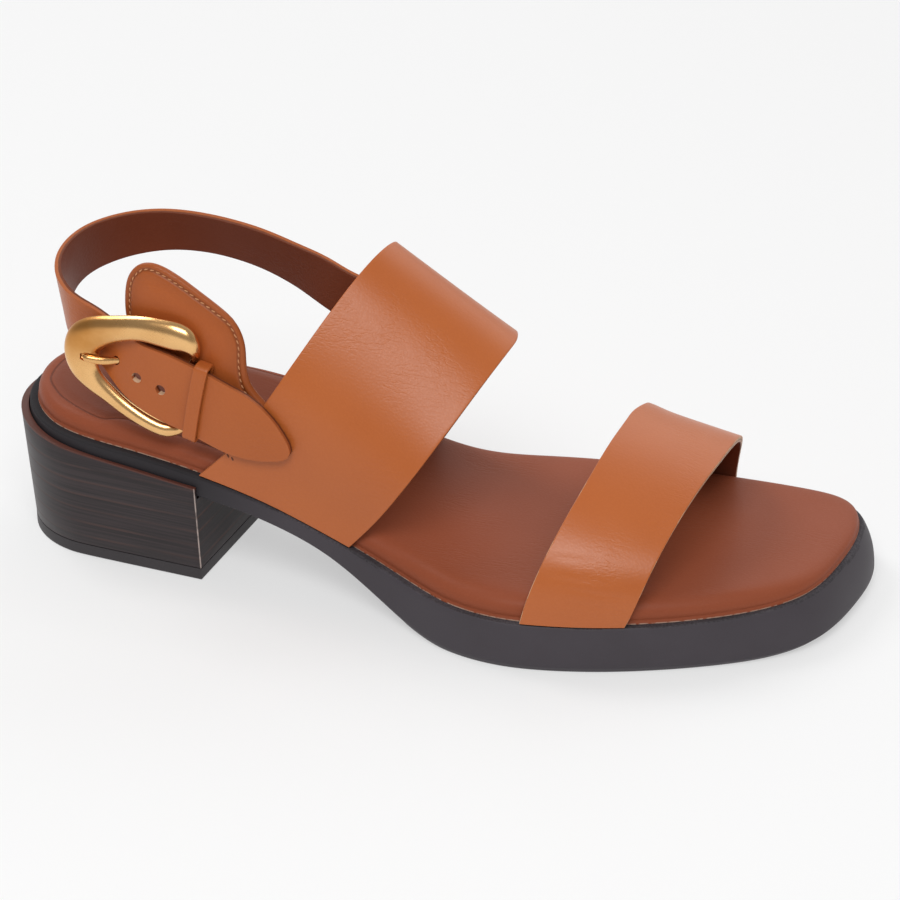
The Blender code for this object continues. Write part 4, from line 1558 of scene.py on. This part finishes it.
@dataclass
class Studio:
    """A pale floor, soft light and the camera."""

    floor_colour: Colour = (0.40, 0.40, 0.40)
    floor_glow: float = 0.5
    floor_radius: float = 12.0
    floor_sides: int = 96
    floor_drop: float = 0.3
    floor_specular: float = 0.1
    floor_roughness: float = 0.7
    azimuth: float = 16.0
    elevation: float = 28.5
    target: Triple = (-1.09, 24.54, 25.0)
    distance: float = 880.0
    lens: float = 120.4
    sensor: float = 36.0
    key: float = 14.2
    panels: tuple[Panel, ...] = (
        Panel("key_light", (0.20, -0.98, 1.22), (1.0, 0.55), 1.0),
        Panel("back_light", (0.3, 1.3, 1.0), (1.4, 0.8), 0.28),
        Panel("side_light", (-0.9, 0.35, 1.25), (0.6, 0.6), 0.45),
    )
    room_front: float = 0.28
    room_gain: float = 0.5
    room_span: Span = (-0.3, 0.9)

    def build(self) -> None:
        """Sets up the floor, the lights, the surroundings and the camera."""
        self.lay_floor()
        for panel in self.panels:
            self.hang_light(panel)
        self.light_surroundings()
        self.set_camera()

    def lay_floor(self) -> None:
        """Lays the floor just under the sole."""
        bpy.ops.object.select_all(action="DESELECT")
        bpy.ops.mesh.primitive_circle_add(
            vertices=self.floor_sides,
            radius=self.floor_radius,
            fill_type="NGON",
            location=(0, 0, -self.floor_drop * MM),
        )
        floor = bpy.context.object
        floor.name = "floor"
        bpy.ops.object.transform_apply(location=True)
        graph = Surface("pale_floor", self.floor_specular)
        graph.feed(graph.shader.inputs["Emission Color"], (1.0, 1.0, 1.0, 1.0))
        graph.feed(graph.shader.inputs["Emission Strength"], self.floor_glow)
        Bench.dress(floor, graph.finish((*self.floor_colour, 1.0), self.floor_roughness))

    def hang_light(self, panel: Panel) -> None:
        """Hangs a soft panel that faces the sandal.

        Args:
            panel: the light to hang.
        """
        lamp = bpy.data.lights.new(panel.name, "AREA")
        lamp.shape = "RECTANGLE"
        lamp.size, lamp.size_y = panel.size
        lamp.energy = self.key * panel.share
        light = bpy.data.objects.new(panel.name, lamp)
        place = Vector(panel.place)
        light.location = place
        light.rotation_euler = (-place).to_track_quat("-Z", "Y").to_euler()
        bpy.context.scene.collection.objects.link(light)

    def light_surroundings(self) -> None:
        """Fills in with an even white room that is dimmer on the camera's side."""
        world = bpy.data.worlds.new("studio")
        bpy.context.scene.world = world
        world.use_nodes = True
        graph = Graph(world.node_tree, "Generated")
        back = Term(graph, graph.node("ShaderNodeSeparateXYZ", {}, {0: graph.place}).outputs["Y"])
        background = world.node_tree.nodes["Background"]
        graph.feed(background.inputs["Color"], (1.0, 1.0, 1.0, 1.0))
        strength = back.ramp(*self.room_span) * self.room_gain + self.room_front
        graph.feed(background.inputs["Strength"], strength)

    def set_camera(self) -> None:
        """Stands the camera at the photograph's angle."""
        turn, tip = math.radians(self.azimuth), math.radians(self.elevation)
        back = Vector((math.sin(turn) * math.cos(tip), -math.cos(turn) * math.cos(tip), math.sin(tip)))
        camera = bpy.data.objects.new("camera", bpy.data.cameras.new("camera"))
        camera.data.lens = self.lens
        camera.data.sensor_width = self.sensor
        camera.location = (Vector(self.target) + back * self.distance) * MM
        camera.rotation_euler = (-back).to_track_quat("-Z", "Y").to_euler()
        bpy.context.scene.collection.objects.link(camera)
        scene = bpy.context.scene
        scene.camera = camera
        scene.view_settings.view_transform = "Standard"


TAN = Leather("tan_leather", (0.485, 0.127, 0.028), (0.43, 0.106, 0.022))
# Painted shade: a darker, duller copy of the tan leather for the heel strap and keeper.
SHADED_TAN = Leather("shaded_tan_strap", (0.455, 0.117, 0.026), (0.40, 0.098, 0.021), specular=0.28)
TAN_EDGE = EdgeLeather(
    "painted_edge",
    (0.42, 0.125, 0.042),
    (0.34, 0.09, 0.028),
    roughness=0.45,
    wrinkle_depth=0.0,
    specular=0.1,
    split=1.15,
)
RAW_EDGE = EdgeLeather(
    "raw_edge",
    (0.66, 0.42, 0.26),
    (0.52, 0.27, 0.14),
    roughness=0.6,
    wrinkle_depth=0.0,
    lining=(0.55, 0.36, 0.24),
)
LINING = Leather("brown_lining", (0.21, 0.055, 0.026), (0.175, 0.044, 0.02), roughness=0.5, specular=0.12)
RAW = Leather(
    "raw_leather",
    (0.72, 0.50, 0.34),
    (0.58, 0.36, 0.22),
    roughness=0.7,
    wrinkle_depth=0.0,
    specular=0.1,
)
PAD = PadLeather("pad_leather", (0.43, 0.107, 0.025), (0.37, 0.086, 0.019), specular=0.24)
FOOTBED = FootbedLeather(
    "footbed_leather", (0.285, 0.074, 0.034), (0.25, 0.062, 0.028), roughness=0.46, specular=0.12
)
SOLE_WALL = Rubber("sole_rubber", (0.060, 0.0515, 0.060), (0.053, 0.045, 0.052), heel=(0.024, 0.021, 0.024))
SOLE_LEDGE = Rubber(
    "roughened_ledge",
    (0.075, 0.066, 0.074),
    (0.026, 0.023, 0.026),
    roughness=0.75,
    texture=0.7,
    texture_depth=0.1,
    speckled=0.6,
    heel=(0.018, 0.016, 0.018),
)
SOLE_TREAD = Rubber(
    "ribbed_tread", (0.05, 0.045, 0.05), (0.04, 0.036, 0.04), roughness=0.65, ribs=5.0, rib_depth=0.6
)
HEEL_BREAST = StackedHeel("heel_breast", specular=0.14, line_share=0.95)
LIFT_RUBBER = Rubber("lift_rubber", (0.051, 0.045, 0.048), (0.041, 0.036, 0.038), roughness=0.5)
PALE_THREAD = Thread("pale_thread", (0.62, 0.29, 0.13), (0.46, 0.18, 0.07))
DARK_THREAD = Thread("dark_thread", (0.17, 0.05, 0.022), (0.10, 0.03, 0.014))


def main() -> None:
    """Builds every sub-assembly in order and reports each piece."""
    logging.basicConfig(level=logging.INFO, format="%(name)s %(message)s")
    toe_folds = (
        Fold((44.0, 30.0), (66.0, 27.5), 0.12, 0.9),
        Fold((48.0, 26.5), (70.0, 23.0), 0.10, 0.8),
        Fold((45.0, 34.0), (60.0, 32.5), 0.08, 0.8),
        Fold((50.0, 22.5), (68.0, 20.0), 0.08, 0.7),
    )
    toe_sweep = Sweep(
        forward=(Step(-0.75, -28.0, 0.0), Step(3.0, 11.0, 31.0)),
        up=(Step(0.3, 0.0, 18.0), Step(-0.3, 24.0, 40.0)),
        width=6.5,
        before=70.0,
    )
    assemblies = (
        Sole(SOLE_WALL, SOLE_LEDGE, SOLE_TREAD),
        Heel(StackedHeel(), HEEL_BREAST, LIFT_RUBBER),
        Footbed(FOOTBED),
        Strap(
            "toe_strap",
            "toe_band",
            TAN,
            LINING,
            RAW_EDGE,
            heart=(60.0, 2.0, 10.0),
            levels=3,
            edge_round=0.55,
            folds=toe_folds,
            sweep=toe_sweep,
        ),
        Strap("instep_strap", "instep_band", TAN, LINING, TAN_EDGE, (-20.0, 2.0, 30.0), levels=3),
        HeelStrap(
            "heel_strap", "heel_strap_leather", SHADED_TAN, LINING, TAN_EDGE, (-65.0, 6.0, 74.0), raw=RAW
        ),
        BucklePad(PAD, PALE_THREAD),
        Keeper(SHADED_TAN),
        Buckle(AntiqueGold()),
        BarTack(DARK_THREAD),
    )
    for assembly in assemblies:
        pieces = assembly.build()
        LOG.info("%s made %d pieces", type(assembly).__name__, len(pieces))
    Studio().build()


if __name__ == "__main__":
    main()
